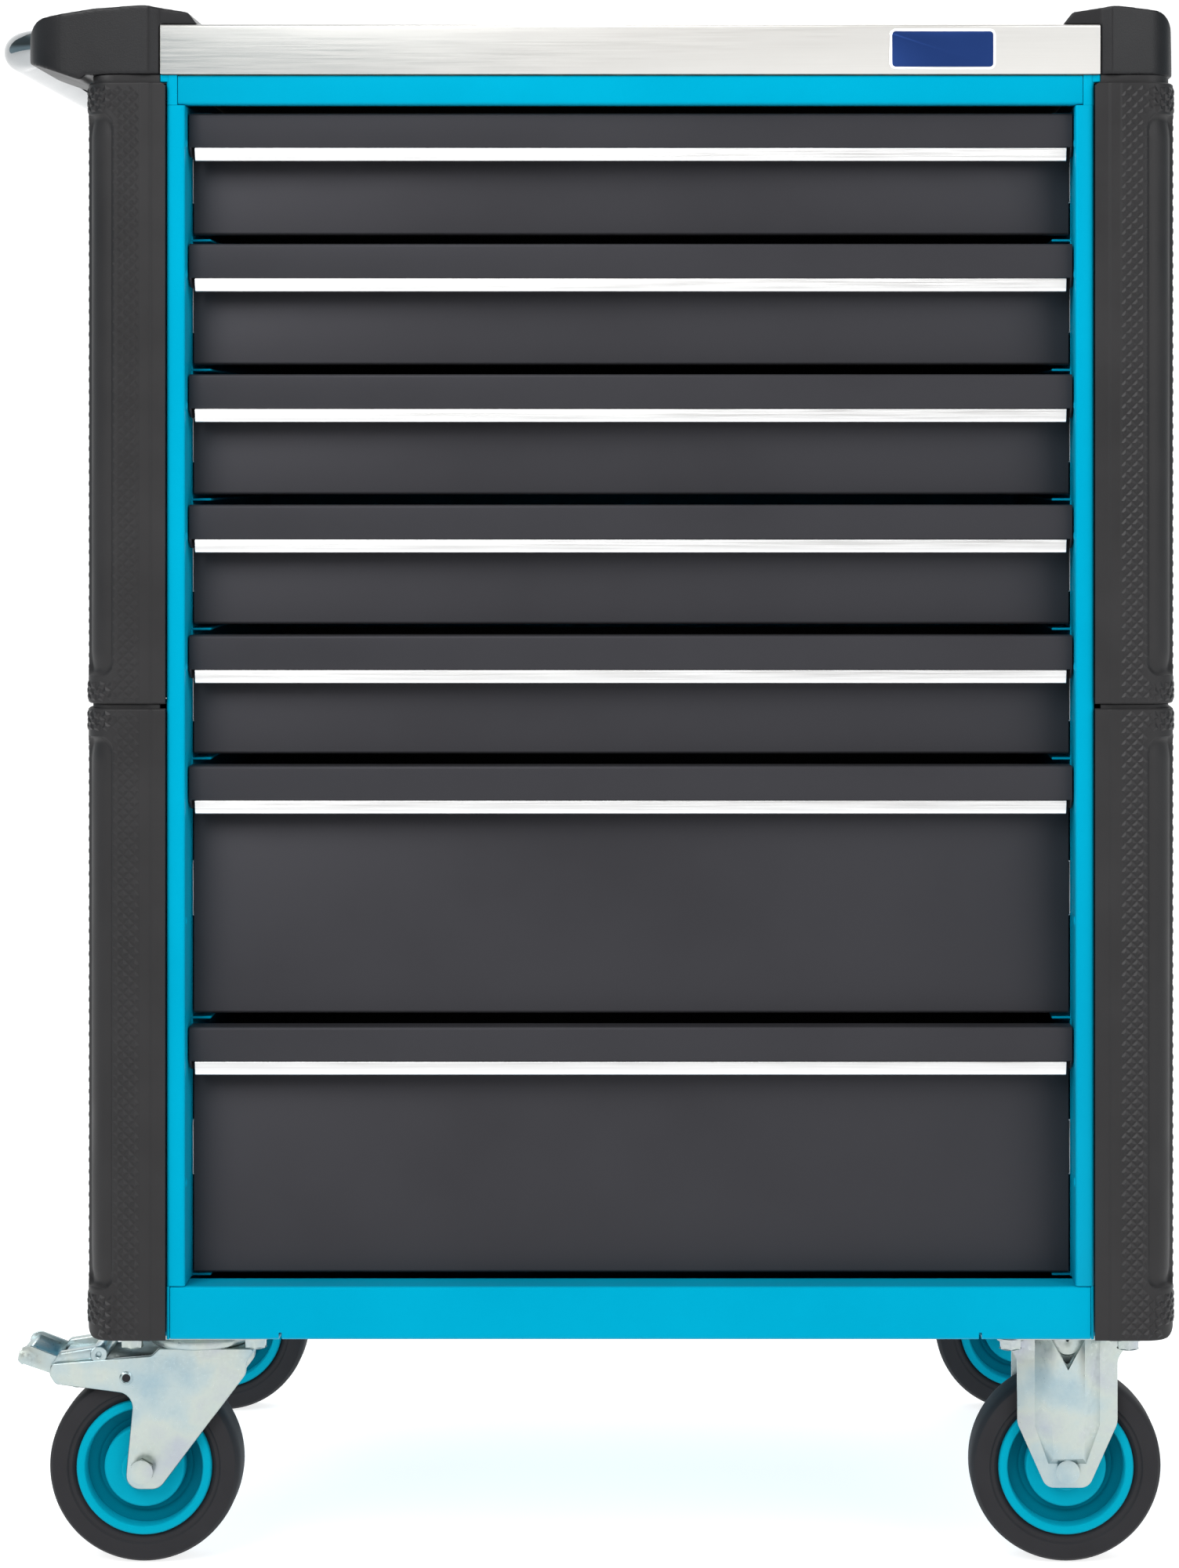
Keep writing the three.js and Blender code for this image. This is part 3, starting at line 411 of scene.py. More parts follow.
def build_dome(tree, given):
    ball = add(tree, "GeometryNodeMeshUVSphere", Segments=16, Rings=8, Radius=given["Radius"]).outputs["Mesh"]
    flatten = add(tree, "ShaderNodeCombineXYZ", X=1, Y=1, Z=given["Flatness"]).outputs["Vector"]
    return add(tree, "GeometryNodeTransform", Geometry=ball, Scale=flatten).outputs["Geometry"]


STUDS = small_part_tree("knurl_studs", {"Foot Radius": 0.001, "Top Radius": 0.0003, "Height": 0.0005}, build_stud)
BOLT_SIZES = {"Head Radius": 0.0075, "Head Top Radius": 0.0072, "Head Height": 0.005}
BOLT_SIZES |= {"Washer Radius": 0.009, "Washer Height": 0.0015, "Crown Radius": 0.0058, "Crown Height": 0.0005}
HEX_BOLTS = small_part_tree("hex_bolts", BOLT_SIZES, build_hex_bolt)
DOMES = small_part_tree("domed_heads", {"Radius": 0.003, "Flatness": 0.5}, build_dome)


def set_parts(name, tree, points, material, smooth=32, **sizes):
    """One mesh of small parts at (place, outward) points, with sizes in millimetres by input name."""
    mesh = bpy.data.meshes.new(name)
    mesh.from_pydata([(Vector(p) + MIDDLE) / METRE for p, _ in points], [], [])
    outward = mesh.attributes.new("outward", "FLOAT_VECTOR", "POINT")
    for item, (_, direction) in zip(outward.data, points):
        item.vector = direction
    piece = bpy.data.objects.new(name, mesh)
    scene.collection.objects.link(piece)
    maker = piece.modifiers.new("parts", "NODES")
    maker.node_group = tree
    sockets = {item.name: item.identifier for item in tree.interface.items_tree if item.in_out == "INPUT"}
    for label, size in sizes.items():
        label = label.replace("_", " ")
        maker[sockets[label]] = size if label == "Flatness" else size / METRE
    maker[sockets["Finish"]] = material
    return settle(piece, material, smooth)


# -------------------- cabinet
panel_low, panel_high = span("side_panel_right")
rail_low, rail_high = span("top_rail")
base_low, base_high = span("base_pan")
top_low, top_high = span("worktop")
HALF = panel_high.x  # half the cabinet's width
FRONT = panel_low.y  # the posts' faces
BACK = panel_high.y
SHEET = 2.0
POST_RETURN = 40  # the post's inner flange, front to back
OPENING = HALF - 12  # half the clear width between the posts
RUNNER = OPENING - 0.7
RUNNER_FRONT = FRONT + 29
RUNNER_BACK = FRONT + 437.5
LIP = 12  # the runner wall's flanges
PANEL = FRONT + 26  # the lower faces of the drawer fronts
PLINTH_TOP = base_high.z
RAIL_BOTTOM = rail_low.z
DRAWERS = range(1, 8)


def side_panel(side, name):
    """Folded side sheet with post and rear flange, and the runner wall with a flange in every drawer gap."""
    shape = bmesh.new()
    flange, lap = HALF - 22, OPENING + 4.9
    rear = [(flange, BACK), (HALF, BACK, 2.2)]
    inside = [(HALF - SHEET, BACK - SHEET, 0.4), (flange, BACK - SHEET)]
    post = [(HALF, FRONT, 2.4), (OPENING, FRONT, 2.0), (OPENING, FRONT + POST_RETURN)]
    post += [(OPENING + SHEET, FRONT + POST_RETURN), (OPENING + SHEET, FRONT + SHEET, 0.4)]
    corner = (HALF - SHEET, FRONT + SHEET, 0.4)
    foot = [(HALF, FRONT + 0.3, 1.2), (HALF - SHEET, FRONT + 0.3, 0.5)]
    head = [(HALF, FRONT, 2.4), (lap, FRONT), (lap, FRONT + SHEET), corner]
    post_bottom, post_top = PLINTH_TOP + 0.3, RAIL_BOTTOM - 0.3
    for edge, z0, z1 in (
        (foot, base_low.z + 0.2, post_bottom),
        (post + [corner], post_bottom, post_top),
        (head, post_top, panel_high.z),
    ):
        prism(shape, mirrored(rounded(rear + edge + inside, 5), side), "Z", z0, z1)
    for x0, x1, y0 in (
        (RUNNER, RUNNER + SHEET, RUNNER_FRONT),
        (RUNNER + 1, HALF - 1, RUNNER_BACK - SHEET),
    ):
        block(shape, side * x0, side * x1, y0, RUNNER_BACK, post_bottom, RAIL_BOTTOM - SHEET)
    levels = [span(f"drawer_{i}")[1].z + 3.25 for i in DRAWERS[1:]] + [PLINTH_TOP + 1.65]
    levels.append(span("drawer_1")[1].z + 1.25)
    for z in levels:
        lip = [(RUNNER + 1, z - 0.75), (RUNNER - LIP, z - 0.75, 0.7)]
        lip += [(RUNNER - LIP, z + 0.75, 0.7), (RUNNER + 1, z + 0.75)]
        prism(shape, mirrored(rounded(lip, 3), side), "Y", RUNNER_FRONT, RUNNER_BACK)
    # tab that shows over the corner guard
    block(shape, side * (HALF - 1), side * (HALF + 3.9), FRONT + 0.4, FRONT + 9, panel_high.z - 4.4, panel_high.z)
    fit(pressed(shape, name, CYAN_PAINT, 0.35), "cabinet", "cyan_paint", name)


def c_member(shape, side, web, end, height, y0, y1, z):
    """Slide member: web and two lips that curl in towards the balls."""
    sheet, half = 1.2, height / 2
    block(shape, side * (web - sheet), side * web, y0, y1, z - half + 1, z + half - 1)
    for edge in (1, -1):
        for x0, x1, near, far in (
            (end + 1.0, web - 0.3, half - sheet, half),
            (end, end + sheet, half - 3.6, half - 0.4),
        ):
            block(shape, side * x0, side * x1, y0, y1, z + edge * near, z + edge * far)


def cabinet():
    for side, name in ((-1, "left"), (1, "right")):
        side_panel(side, f"side_panel_{name}")
        shape = bmesh.new()
        for i in DRAWERS:
            low, high = span(f"drawer_{i}")
            middle = span(f"slide_{name}_{i}")
            z = (low.z + high.z) / 2
            end = min(abs(middle[0].x), abs(middle[1].x))
            c_member(shape, side, RUNNER + 0.6, end, 36, FRONT + 30, FRONT + 429.5, z)
        fit(pressed(shape, f"fixed_slides_{name}", SLIDE_STEEL, 0.3), "cabinet", "zinc_plate")

    # top rail, folded from one strip
    shape = bmesh.new()
    z0, z1, back = rail_low.z, rail_high.z, FRONT + POST_RETURN
    strip = [(FRONT, z0, 2.2), (FRONT, z1, 2.2), (back, z1), (back, z1 - SHEET)]
    strip += [(FRONT + SHEET, z1 - SHEET, 0.5), (FRONT + SHEET, z0 + SHEET, 0.5)]
    strip += [(FRONT + 10, z0 + SHEET), (FRONT + 10, z0)]
    prism(shape, rounded(strip, 5), "X", rail_low.x, rail_high.x)
    fit(pressed(shape, "top_rail_fold", CYAN_PAINT, 0.35), "cabinet", "cyan_paint", "top_rail")

    # plinth fold with two relief notches in its lower edge
    shape = bmesh.new()
    inner, floor = HALF - SHEET - 0.3, 3.0
    notch, notch_half = 224.3, 0.9
    z0, z1 = base_low.z, base_high.z
    ledge, lip = FRONT + 24, FRONT + 30
    strip = [(FRONT, z0, 2.4), (FRONT, z1, 2.2), (ledge, z1), (ledge, z1 - SHEET), (FRONT + SHEET, z1 - SHEET, 0.5)]
    strip += [(FRONT + SHEET, z0 + floor, 0.5), (lip, z0 + floor), (lip, z0)]
    prism(shape, rounded(strip, 5), "X", -inner, inner)
    piece = to_object(shape, "plinth_fold")
    shape = bmesh.new()
    for side in (-1, 1):
        middle = side * notch
        block(shape, middle - notch_half, middle + notch_half, FRONT - 5, FRONT + 14, z0 - 2, z0 + 4.5)
    tool = cut_with(piece, shape, "plinth_notches", "DIFFERENCE")
    bevel_edges(piece, 0.35, 2)
    settle(piece, CYAN_PAINT, 20)
    bpy.data.objects.remove(tool)
    fit(piece, "cabinet", "cyan_paint")

    # base pan: floor with its rear and side folds, widened over the casters
    shape = bmesh.new()
    block(shape, -HALF + 1, HALF - 1, PANEL, BACK - 0.5, z0, z0 + floor)
    rear, upstand = BACK - 2 * SHEET - 0.6, 30
    block(shape, -inner, inner, rear - SHEET, rear, z0, z0 + upstand)
    for side in (-1, 1):
        block(shape, side * (inner - SHEET), side * inner, FRONT + 20, rear, z0, z0 + upstand)
        for end in (-1, 1):
            block(shape, side * (HALF - 2), side * base_high.x, end * 235, end * 195, z0, z0 + floor)
    fit(pressed(shape, "base_pan_floor", CYAN_PAINT, 0.35), "cabinet", "cyan_paint", "base_pan")

    # back panel with a raised field
    low, high = span("back_panel")
    shape = bmesh.new()
    block(shape, low.x, high.x, low.y, high.y - 0.6, low.z, high.z)
    prism(shape, rectangle(low.x + 35, high.x - 35, low.z + 60, high.z - 35, 14), "Y", high.y - 1.2, high.y)
    fit(pressed(shape, "back_sheet", CYAN_PAINT, 0.5), "cabinet", "cyan_paint", "back_panel")
    rows = [low.z + 25 + k * (high.z - low.z - 40) / 6 for k in range(7)]
    holders = [((side * (HALF - 11), BACK, z), (0, 1, 0)) for side in (-1, 1) for z in rows]
    rivets = set_parts("rear_flange_rivets", DOMES, holders, CYAN_PAINT, Radius=3.4, Flatness=0.4)
    fit(rivets, "cabinet", "cyan_paint")

    # stops riveted through the posts' inner folds, one beside each drawer
    stops = []
    for i in DRAWERS:
        low, high = span(f"drawer_{i}")
        z = high.z - (20 if high.z - low.z < 100 else 99)
        stops += [((side * OPENING, FRONT + 6, z), (-side, 0, 0)) for side in (-1, 1)]
    rivets = set_parts("post_rivets", DOMES, stops, CYAN_PAINT, Radius=3.0, Flatness=0.28)
    fit(rivets, "cabinet", "cyan_paint")

    # worktop skin, folded down round the board
    low, high, sheet = top_low, top_high, 1.5
    y0, y1 = low.y + sheet, high.y - sheet
    shape = bmesh.new()
    fold = [(low.y, low.z, 0.5), (low.y, high.z, 2.0), (high.y, high.z, 2.0), (high.y, low.z, 0.5)]
    fold += [(y1, low.z), (y1, high.z - sheet), (y0, high.z - sheet), (y0, low.z)]
    prism(shape, rounded(fold), "X", low.x, high.x)
    for side in (-1, 1):
        block(shape, side * (high.x - 1.4), side * high.x, y0, y1, low.z, high.z - 1.2)
    fit(pressed(shape, "worktop_skin", STAINLESS, 0.35), "cabinet", "worktop_stainless", "worktop")

    # plain badge on the worktop's front edge: blue field in a pale rim
    x, z = 200, (low.z + high.z) / 2
    for name, rim, proud, material in (("badge_rim", 0.0, 0.7, GRIP_METAL), ("badge_field", 1.6, 0.9, BADGE_BLUE)):
        half, rise = 34 - rim, 13 - rim
        shape = bmesh.new()
        prism(shape, rectangle(x - half, x + half, z - rise, z + rise, 4 - rim), "Y", low.y + 0.2, low.y - proud)
        fit(pressed(shape, name, material, 0.15), "cabinet", "worktop_stainless")


# -------------------- corner guards
GUARD_WALL = 4.0


def guard_outline():
    """Outer line of the front right guard from its inner end round the corner to its heel, as
    (distance, x, y, outward x, outward y)."""
    low, high = span("guard_upper_front_right")
    inner, outer, front, heel = low.x, high.x, low.y, high.y
    corner, foot = 20.0, 10.0
    parts = []

    def straight(x0, y0, x1, y1, nx, ny, step):
        length = math.hypot(x1 - x0, y1 - y0)
        count = max(1, round(length / step))
        for k in range(count):
            t = k / count
            parts.append((x0 + (x1 - x0) * t, y0 + (y1 - y0) * t, nx, ny))

    def arc(cx, cy, radius, start, end, count):
        for k in range(count):
            a = math.radians(start + (end - start) * k / count)
            parts.append((cx + radius * math.cos(a), cy + radius * math.sin(a), math.cos(a), math.sin(a)))

    straight(inner, front, outer - corner, front, 0, -1, 0.8)
    arc(outer - corner, front + corner, corner, -90, 0, 26)
    straight(outer, front + corner, outer, heel - foot, 1, 0, 0.8)
    arc(outer - foot, heel - foot, foot, 0, 90, 8)
    straight(outer - foot, heel, inner, heel, 0, 1, 6)
    parts.append((inner, heel, 0, 1))
    line, travelled = [], 0.0
    for i, (x, y, nx, ny) in enumerate(parts):
        if i:
            travelled += math.hypot(x - parts[i - 1][0], y - parts[i - 1][1])
        line.append((travelled, x, y, nx, ny))
    return line


# Distances along the guard's outer line: the plain inner band, the ridge, the knurled strip and the
# sunk corner field, then the same in reverse along the side
RIDGE = (10.0, 16.4)
STRIP = (18.0, 31.6)
FIELD = (33.0, 63.4)
SIDE_STRIP = (64.8, 78.4)
SIDE_RIDGE = (80.0, 86.4)


def ease(value, low, high):
    t = min(1.0, max(0.0, (value - low) / (high - low)))
    return t * t * (3 - 2 * t)


def guard_depth(s, z, z0, z1, below, above):
    """How far the surface lies under the guard's outermost skin."""
    depth = 0.9 * (1 - ease(s, RIDGE[0] - 1.4, RIDGE[0])) + 0.5 * ease(s, RIDGE[1], RIDGE[1] + 0.8)
    depth -= 0.5 * ease(s, SIDE_RIDGE[0] - 0.8, SIDE_RIDGE[0])
    depth += 0.9 * ease(s, SIDE_RIDGE[1], SIDE_RIDGE[1] + 1.4)
    low, high, radius = z0 + below, z1 - above, 9.0
    du = max(FIELD[0] + radius - s, s - (FIELD[1] - radius), 0)
    dv = max(low + radius - z, z - (high - radius), 0)
    inside = radius - math.hypot(du, dv)
    if du < 0.01:
        inside = min(inside, radius - dv) if dv else radius
    depth += 2.1 * ease(inside, 0, 1.5)
    scoop = ease(min(z - low, high - z), 0, 16)
    depth += 1.4 * ease(inside, 0, 4) * (1 - scoop) if inside > 0 else 0
    depth += 0.9 * (1 - ease(min(z - z0, z1 - z), 0, 0.9))
    return depth


def levels_between(z0, z1):
    """Heights packed closely at both ends of a guard and sparsely between."""
    close = [0, 0.3, 0.6, 0.9] + [1.5 + 1.1 * k for k in range(40)]
    start, stop = z0 + close[-1], z1 - close[-1]
    count = max(2, round((stop - start) / 14))
    middle = [start + (stop - start) * k / count for k in range(1, count)]
    return [z0 + c for c in close] + middle + [z1 - c for c in reversed(close)]


def along(line, s):
    """Place and outward direction at distance s along the guard's outer line."""
    for (s0, *a), (s1, *b) in zip(line, line[1:]):
        if s0 <= s <= s1:
            t = (s - s0) / (s1 - s0)
            return [p + (q - p) * t for p, q in zip(a, b)]
    raise ValueError("past the end of the guard's line")


def guard(place, side, end, layer):
    """Moulded guard: outer skin with its sunk field and ridges, inner skin and closed ends."""
    node = f"guard_{layer}_{place}"
    low, high = span(node)
    lower = layer == "lower"
    neck = 2.7 if lower else 4.7
    z0, z1 = low.z, high.z - neck
    below, above = (33.0, 18.0) if lower else (18.0, 20.0)
    line = guard_outline()
    outer_x = span("guard_upper_front_right")[1].x
    rings = []
    for z in levels_between(z0, z1):
        outer_ring, inner_ring = [], []
        for s, x, y, nx, ny in line:
            height = z
            if lower:
                past = max(0.0, x - (outer_x - 9))
                height = max(z, z0 + 9 - math.sqrt(max(0.0, 81 - past * past)))
            else:
                height = min(z, z1 - max(0.0, 3 - s) * 0.7)
            depth = guard_depth(s, height, z0, z1, below, above)
            outer_ring.append((side * (x - nx * depth), -end * (y - ny * depth), height))
            inner_ring.append((side * (x - nx * GUARD_WALL), -end * (y - ny * GUARD_WALL), height))
        rings.append(outer_ring + inner_ring[::-1])
    shape = bmesh.new()
    skin(shape, rings)
    fit(settle(to_object(shape, f"{node}_shell"), GUARD_PLASTIC, 40), "cabinet", "black_plastic", node)

    # neck that carries on to the next piece
    shape = bmesh.new()
    inset, inner, wall = 3.4, top_high.x + 0.3, GUARD_WALL
    top_x, front, heel = outer_x - inset, line[0][2] + inset, line[-1][2] - inset
    section = [(inner, front), (top_x, front, 16.6), (top_x, heel, 6.6), (inner, heel), (inner, heel - wall)]
    section += [(top_x - wall, heel - wall, 2.6), (top_x - wall, front + wall, 12.6), (inner, front + wall)]
    prism(shape, mirrored(rounded(section, 8), side, -end), "Z", z1 - 6, z1 + neck)
    fit(pressed(shape, f"{node}_neck", GUARD_PLASTIC, 0.3), "cabinet", "black_plastic")

    # knurling on the strips and round both ends of the sunk field
    pitch = 7.4
    field_low, field_high = z0 + below - 3.2, z1 - above + 3.2
    points = []
    s, odd = STRIP[0] + 1.3, 0
    while s < SIDE_STRIP[1] - 0.8:
        x, y, nx, ny = along(line, s)
        for row in range(int((z1 - z0 - 4) / pitch)):
            z = z0 + 4.2 + (row + 0.5 * odd) * pitch
            in_field = FIELD[0] - 1.5 < s < FIELD[1] + 1.5 and field_low < z < field_high
            if in_field or z > z1 - 4 or (lower and z < z0 + 11 and x > outer_x - 11):
                continue
            sink = guard_depth(s, z, z0, z1, below, above)
            points.append(((side * (x - nx * sink), -end * (y - ny * sink), z), (side * nx, -end * ny, 0)))
        s += pitch / 2
        odd = 1 - odd
    sizes = {"Foot_Radius": 3.3, "Top_Radius": 1.2, "Height": 0.85}
    studs = set_parts(f"{node}_knurl", STUDS, points, KNURL_PLASTIC, 20, **sizes)
    fit(studs, "cabinet", "black_plastic")


# -------------------- top caps
TUBE_RADIUS = 12.5


def blend_shape(piece, voxel, rounds):
    """Rounds a moulded shape's edges by remeshing it finely and smoothing it."""
    remesh = piece.modifiers.new("remesh", "REMESH")
    remesh.mode = "VOXEL"
    remesh.voxel_size = voxel / METRE
    smooth = piece.modifiers.new("smooth", "SMOOTH")
    smooth.iterations = rounds
    smooth.factor = 0.5


def cap(place, side, end):
    node = f"cap_{place}"
    low, high = span(node)
    left = side < 0
    reach = max(abs(low.x), abs(high.x))
    outer = span("guard_upper_front_right")[1].x
    crown, bottom = high.z, top_low.z
    top = top_high.z
    inner, tip = top_high.x + 0.4, top_high.x - 23.5
    depth = high.y - low.y
    front = FRONT - 4
    heel, lip_heel = front + depth, front + 66
    face = [(inner, bottom)]
    if left:
        face += [(outer, bottom, 1), (outer + 4, bottom - 3, 2), (reach, span("handle_tube")[0].z - 4, 4)]
        face += [(reach - 1.5, crown - 8, 15), (inner + 44, crown - 1.8, 50)]
    else:
        face += [(reach, bottom, 2), (reach - 1.5, crown - 3, 13)]
    face += [(inner + 10, crown, 40), (tip + 6, top + 8, 4), (tip, top + 0.25), (inner, top + 0.25)]
    shape = bmesh.new()
    prism(shape, mirrored(rounded(face, 14), side), "Y", -300, 300)
    piece = to_object(shape, f"{node}_moulding")
    plan = [(tip, front + 4), (inner + 0.4, front + 3), (inner + 7, front, 2)]
    plan += [(reach, front + 14, 34 if left else 24), (reach, heel, 12)]
    if left:
        plan += [(inner, heel), (inner, lip_heel)]
    plan += [(tip, lip_heel, 10)]
    tools = []
    shape = bmesh.new()
    prism(shape, mirrored(rounded(plan, 14), side, -end), "Z", bottom - 30, crown + 30)
    tools.append(cut_with(piece, shape, f"{node}_plan", "INTERSECT"))
    if left:
        shape = bmesh.new()
        handle_bar(shape, TUBE_RADIUS + 0.6, 24)
        tools.append(cut_with(piece, shape, f"{node}_bore", "DIFFERENCE"))
    blend_shape(piece, 1.0 if left else 0.8, 5)
    settle(piece, CAP_PLASTIC, 180)
    for tool in tools:
        bpy.data.objects.remove(tool)
    fit(piece, "cabinet", "black_plastic", node)


# -------------------- push handle
def handle_line():
    """Centre line of the handle from its front leg's end round to its rear leg's end."""
    low, high = span("handle_tube")
    x, z = low.x + TUBE_RADIUS, (low.z + high.z) / 2
    leg, bend, steps = high.y - TUBE_RADIUS, 40.0, 16
    line = [(high.x, -leg, z)]
    for centre_y, start in ((-leg + bend, -90), (leg - bend, -180)):
        for k in range(steps + 1):
            a = math.radians(start - 90 * k / steps)
            line.append((x + bend + bend * math.cos(a), centre_y + bend * math.sin(a), z))
    line.append((high.x, leg, z))
    return line


def handle_bar(shape, radius, sides):
    line = [Vector(p) for p in handle_line()]
    rings = []
    for i, at in enumerate(line):
        along = (line[min(i + 1, len(line) - 1)] - line[max(i - 1, 0)]).normalized()
        across = along.cross(Vector((0, 0, 1)))
        ring = []
        for k in range(sides):
            a = 2 * math.pi * k / sides
            ring.append(at + across * (radius * math.cos(a)) + Vector((0, 0, radius * math.sin(a))))
        rings.append(ring)
    skin(shape, rings)


def handle():
    shape = bmesh.new()
    handle_bar(shape, TUBE_RADIUS, 48)
    fit(settle(to_object(shape, "push_handle"), CHROME, 60), "cabinet", "handle_chrome", "handle_tube")


# -------------------- drawers
def drawer(i):
    body = f"drawer_body_{i}"
    low, high = span(f"drawer_{i}")
    face, top, bottom = low.y, high.z, low.z
    half, lower_half = high.x, high.x - 0.8
    sheet, hem = 1.5, 10
    fold, cheek_end = top - 22, top - 28
    behind = PANEL + sheet
    shape = bmesh.new()
    upper = [(face, fold), (face, top, 2.0), (behind, top, 1.6), (behind, top - 3)]
    upper += [(PANEL, top - 3), (PANEL, top - sheet), (face + sheet, top - sheet, 0.5), (face + sheet, fold)]
    prism(shape, rounded(upper, 5), "X", -half, half)
    lower = [(PANEL, top - 2), (behind, top - 2), (behind, bottom + sheet, 0.4)]
    lower += [(PANEL + hem, bottom + sheet), (PANEL + hem, bottom), (PANEL, bottom, 1.9)]
    prism(shape, rounded(lower, 5), "X", -lower_half, lower_half)
    cheek = [(face + 0.2, top - 1), (PANEL + 1, top - 1), (PANEL + 1, cheek_end, 1), (face + 6, cheek_end, 2)]
    cheek += [(face + 0.2, fold)]
    for side in (-1, 1):
        prism(shape, rounded(cheek, 3), "X", side * half, side * (half - sheet))
    fit(pressed(shape, f"drawer_front_{i}", ANTHRACITE, 0.4, 3), body, "anthracite_paint", f"drawer_{i}")

    # tray with hemmed rims
    slides = span(f"slide_right_{i}")
    tray = slides[0].x - 2.4
    back = high.y
    floor, rim = bottom + 3, top - 14
    shape = bmesh.new()
    wall, hem = PANEL + 0.8, 9
    block(shape, -tray, tray, wall, back, floor, floor + sheet)
    block(shape, -tray, tray, back - sheet, back, floor, rim)
    block(shape, -tray, tray, wall, wall + sheet, bottom + 0.5, top - 0.8)
    block(shape, -tray + 2, tray - 2, back - 3, back - 0.6, rim - hem, rim)
    for side in (-1, 1):
        block(shape, side * tray, side * (tray - sheet), wall, back, floor, rim)
        block(shape, side * (tray - 0.6), side * (tray - 3), wall + sheet, back - 1, rim - hem, rim)
    fit(pressed(shape, f"drawer_tray_{i}", ANTHRACITE, 0.4), body, "anthracite_paint")

    # inner slide members on both sides of the tray
    shape = bmesh.new()
    z = (top + bottom) / 2
    height = slides[1].z - slides[0].z
    reach = slides[1].x - 1.8
    grow, start = height / 2 - 1.8, FRONT + 32
    for side in (-1, 1):
        block(shape, side * (tray - 0.4), side * (tray + 1.0), start, back, z - grow + 1, z + grow - 1)
        for edge in (-1, 1):
            near, far = z + edge * grow, z + edge * (grow - 1.2)
            block(shape, side * (tray + 0.4), side * reach, start, back, near, far)
    fit(pressed(shape, f"drawer_rails_{i}", SLIDE_STEEL, 0.3), body, "zinc_plate")

    # grip: extruded bright profile, cut on the slant at both ends
    low, high = span(f"drawer_grip_{i}")
    z1 = fold - 0.3
    z0, y0 = low.z, low.y
    profile = [(y0 + 0.5, z1, 0.5), (y0, z0 + 1.6, 3), (y0 + 0.6, z0, 1.4), (y0 + 3.9, z0, 1.2)]
    profile += [(y0 + 4.6, z0 + 3.0, 1.0), (y0 + 3.2, z0 + 3.2), (y0 + 2.6, z0 + 2.0), (y0 + 1.8, z0 + 2.2)]
    profile += [(y0 + 2.2, z1), (high.y, z1), (high.y, high.z), (high.y - 1.4, high.z), (high.y - 1.4, z1)]
    outline = rounded(profile, 4)
    shape = bmesh.new()
    skin(shape, [[(side * (high.x - max(0.0, z1 - v) * 0.04), u, v) for u, v in outline] for side in (-1, 1)])
    fit(pressed(shape, f"grip_profile_{i}", GRIP_METAL, 0.25), body, "grip_aluminium", f"drawer_grip_{i}")

    # middle slide members and the balls they run on
    body = f"slide_body_{i}"
    for side, name in ((-1, "left"), (1, "right")):
        node = f"slide_{name}_{i}"
        low, high = span(node)
        end, web = sorted((abs(low.x), abs(high.x)))
        shape = bmesh.new()
        c_member(shape, side, web, end, high.z - low.z, low.y, high.y, (low.z + high.z) / 2)
        fit(pressed(shape, f"{node}_member", SLIDE_STEEL, 0.3), body, "zinc_plate", node)
        count = 22
        step = (high.y - low.y - 30) / (count - 1)
        places = [(low.y + 15 + k * step, z) for k in range(count) for z in (low.z + 3.2, high.z - 3.2)]
        balls = [((side * (web - 3.4), y, z), (0, 1, 0)) for y, z in places]
        fit(set_parts(f"{node}_balls", DOMES, balls, SLIDE_STEEL, Radius=1.9, Flatness=1.0), body, "zinc_plate")


# -------------------- casters
PLATE = 3.5  # the casters' top plates
CHEEK_INNER, CHEEK_SHEET = 21.3, 3.0
CHEEK_FACE = CHEEK_INNER + CHEEK_SHEET


def both_faces(profile):
    """(Radius, depth) profile of one face carried on over the other face."""
    return profile + [(r, -d) for r, d in reversed(profile)]


def wheel(place):
    body = f"wheel_body_{place}"
    low, high = span(f"wheel_{place}")
    x, y, z = (low + high) / 2
    tread = [(43.5, -12), (47.0, -15.0), (49.0, -15.4), (50.2, -16.6), (57.0, -17.6), (59.6, -16.8)]
    tread += [(61.4, -14.4), (62.2, -11.0), (62.5, -7.0)]
    shape = bmesh.new()
    turned(shape, both_faces(tread), x, y, z, 112)
    fit(settle(to_object(shape, f"tyre_{place}"), RUBBER, 28), body, "tyre_rubber", f"wheel_{place}")
    ring = [(37.8, -8), (38.2, -15.6), (39.0, -16.6), (43.0, -16.6), (44.0, -15.6), (44.2, -12.0)]
    disc = [(6.4, -20.7), (13.0, -20.7), (14.0, -19.8), (14.4, -15.2), (25.0, -14.6), (26.2, -13.4), (26.6, -4)]
    web = [(26, -5.2), (30.5, -5.2), (32.0, -6.6), (38.2, -7.4)]
    shape = bmesh.new()
    for profile in (ring, disc):
        turned(shape, both_faces(profile), x, y, z, 112)
    fit(pressed(shape, f"rim_{place}", RIM_PLASTIC, 0.3), body, "tyre_rubber")
    # sunk web between the ring and the hub disc, in the darker cyan that paints the shade of the recess
    shape = bmesh.new()
    turned(shape, both_faces(web), x, y, z, 112)
    fit(pressed(shape, f"rim_web_{place}", RIM_WEB_SHADE_PAINT, 0.3), body, "tyre_rubber")
    return x, y, z


def cheek_plates(shape, outline, y):
    for face in (-1, 1):
        prism(shape, outline, "Y", y + face * CHEEK_INNER, y + face * CHEEK_FACE)


def axle_bolt(name, x, y, z, body):
    points = [((x, y + face * CHEEK_FACE, z), (0, face, 0)) for face in (-1, 1)]
    sizes = {"Head_Radius": 8.0, "Head_Top_Radius": 7.7, "Head_Height": 3.4}
    sizes |= {"Washer_Radius": 6.6, "Washer_Height": 0.4, "Crown_Radius": 5.9, "Crown_Height": 0.35}
    fit(set_parts(name, HEX_BOLTS, points, ZINC, **sizes), body, "zinc_plate")


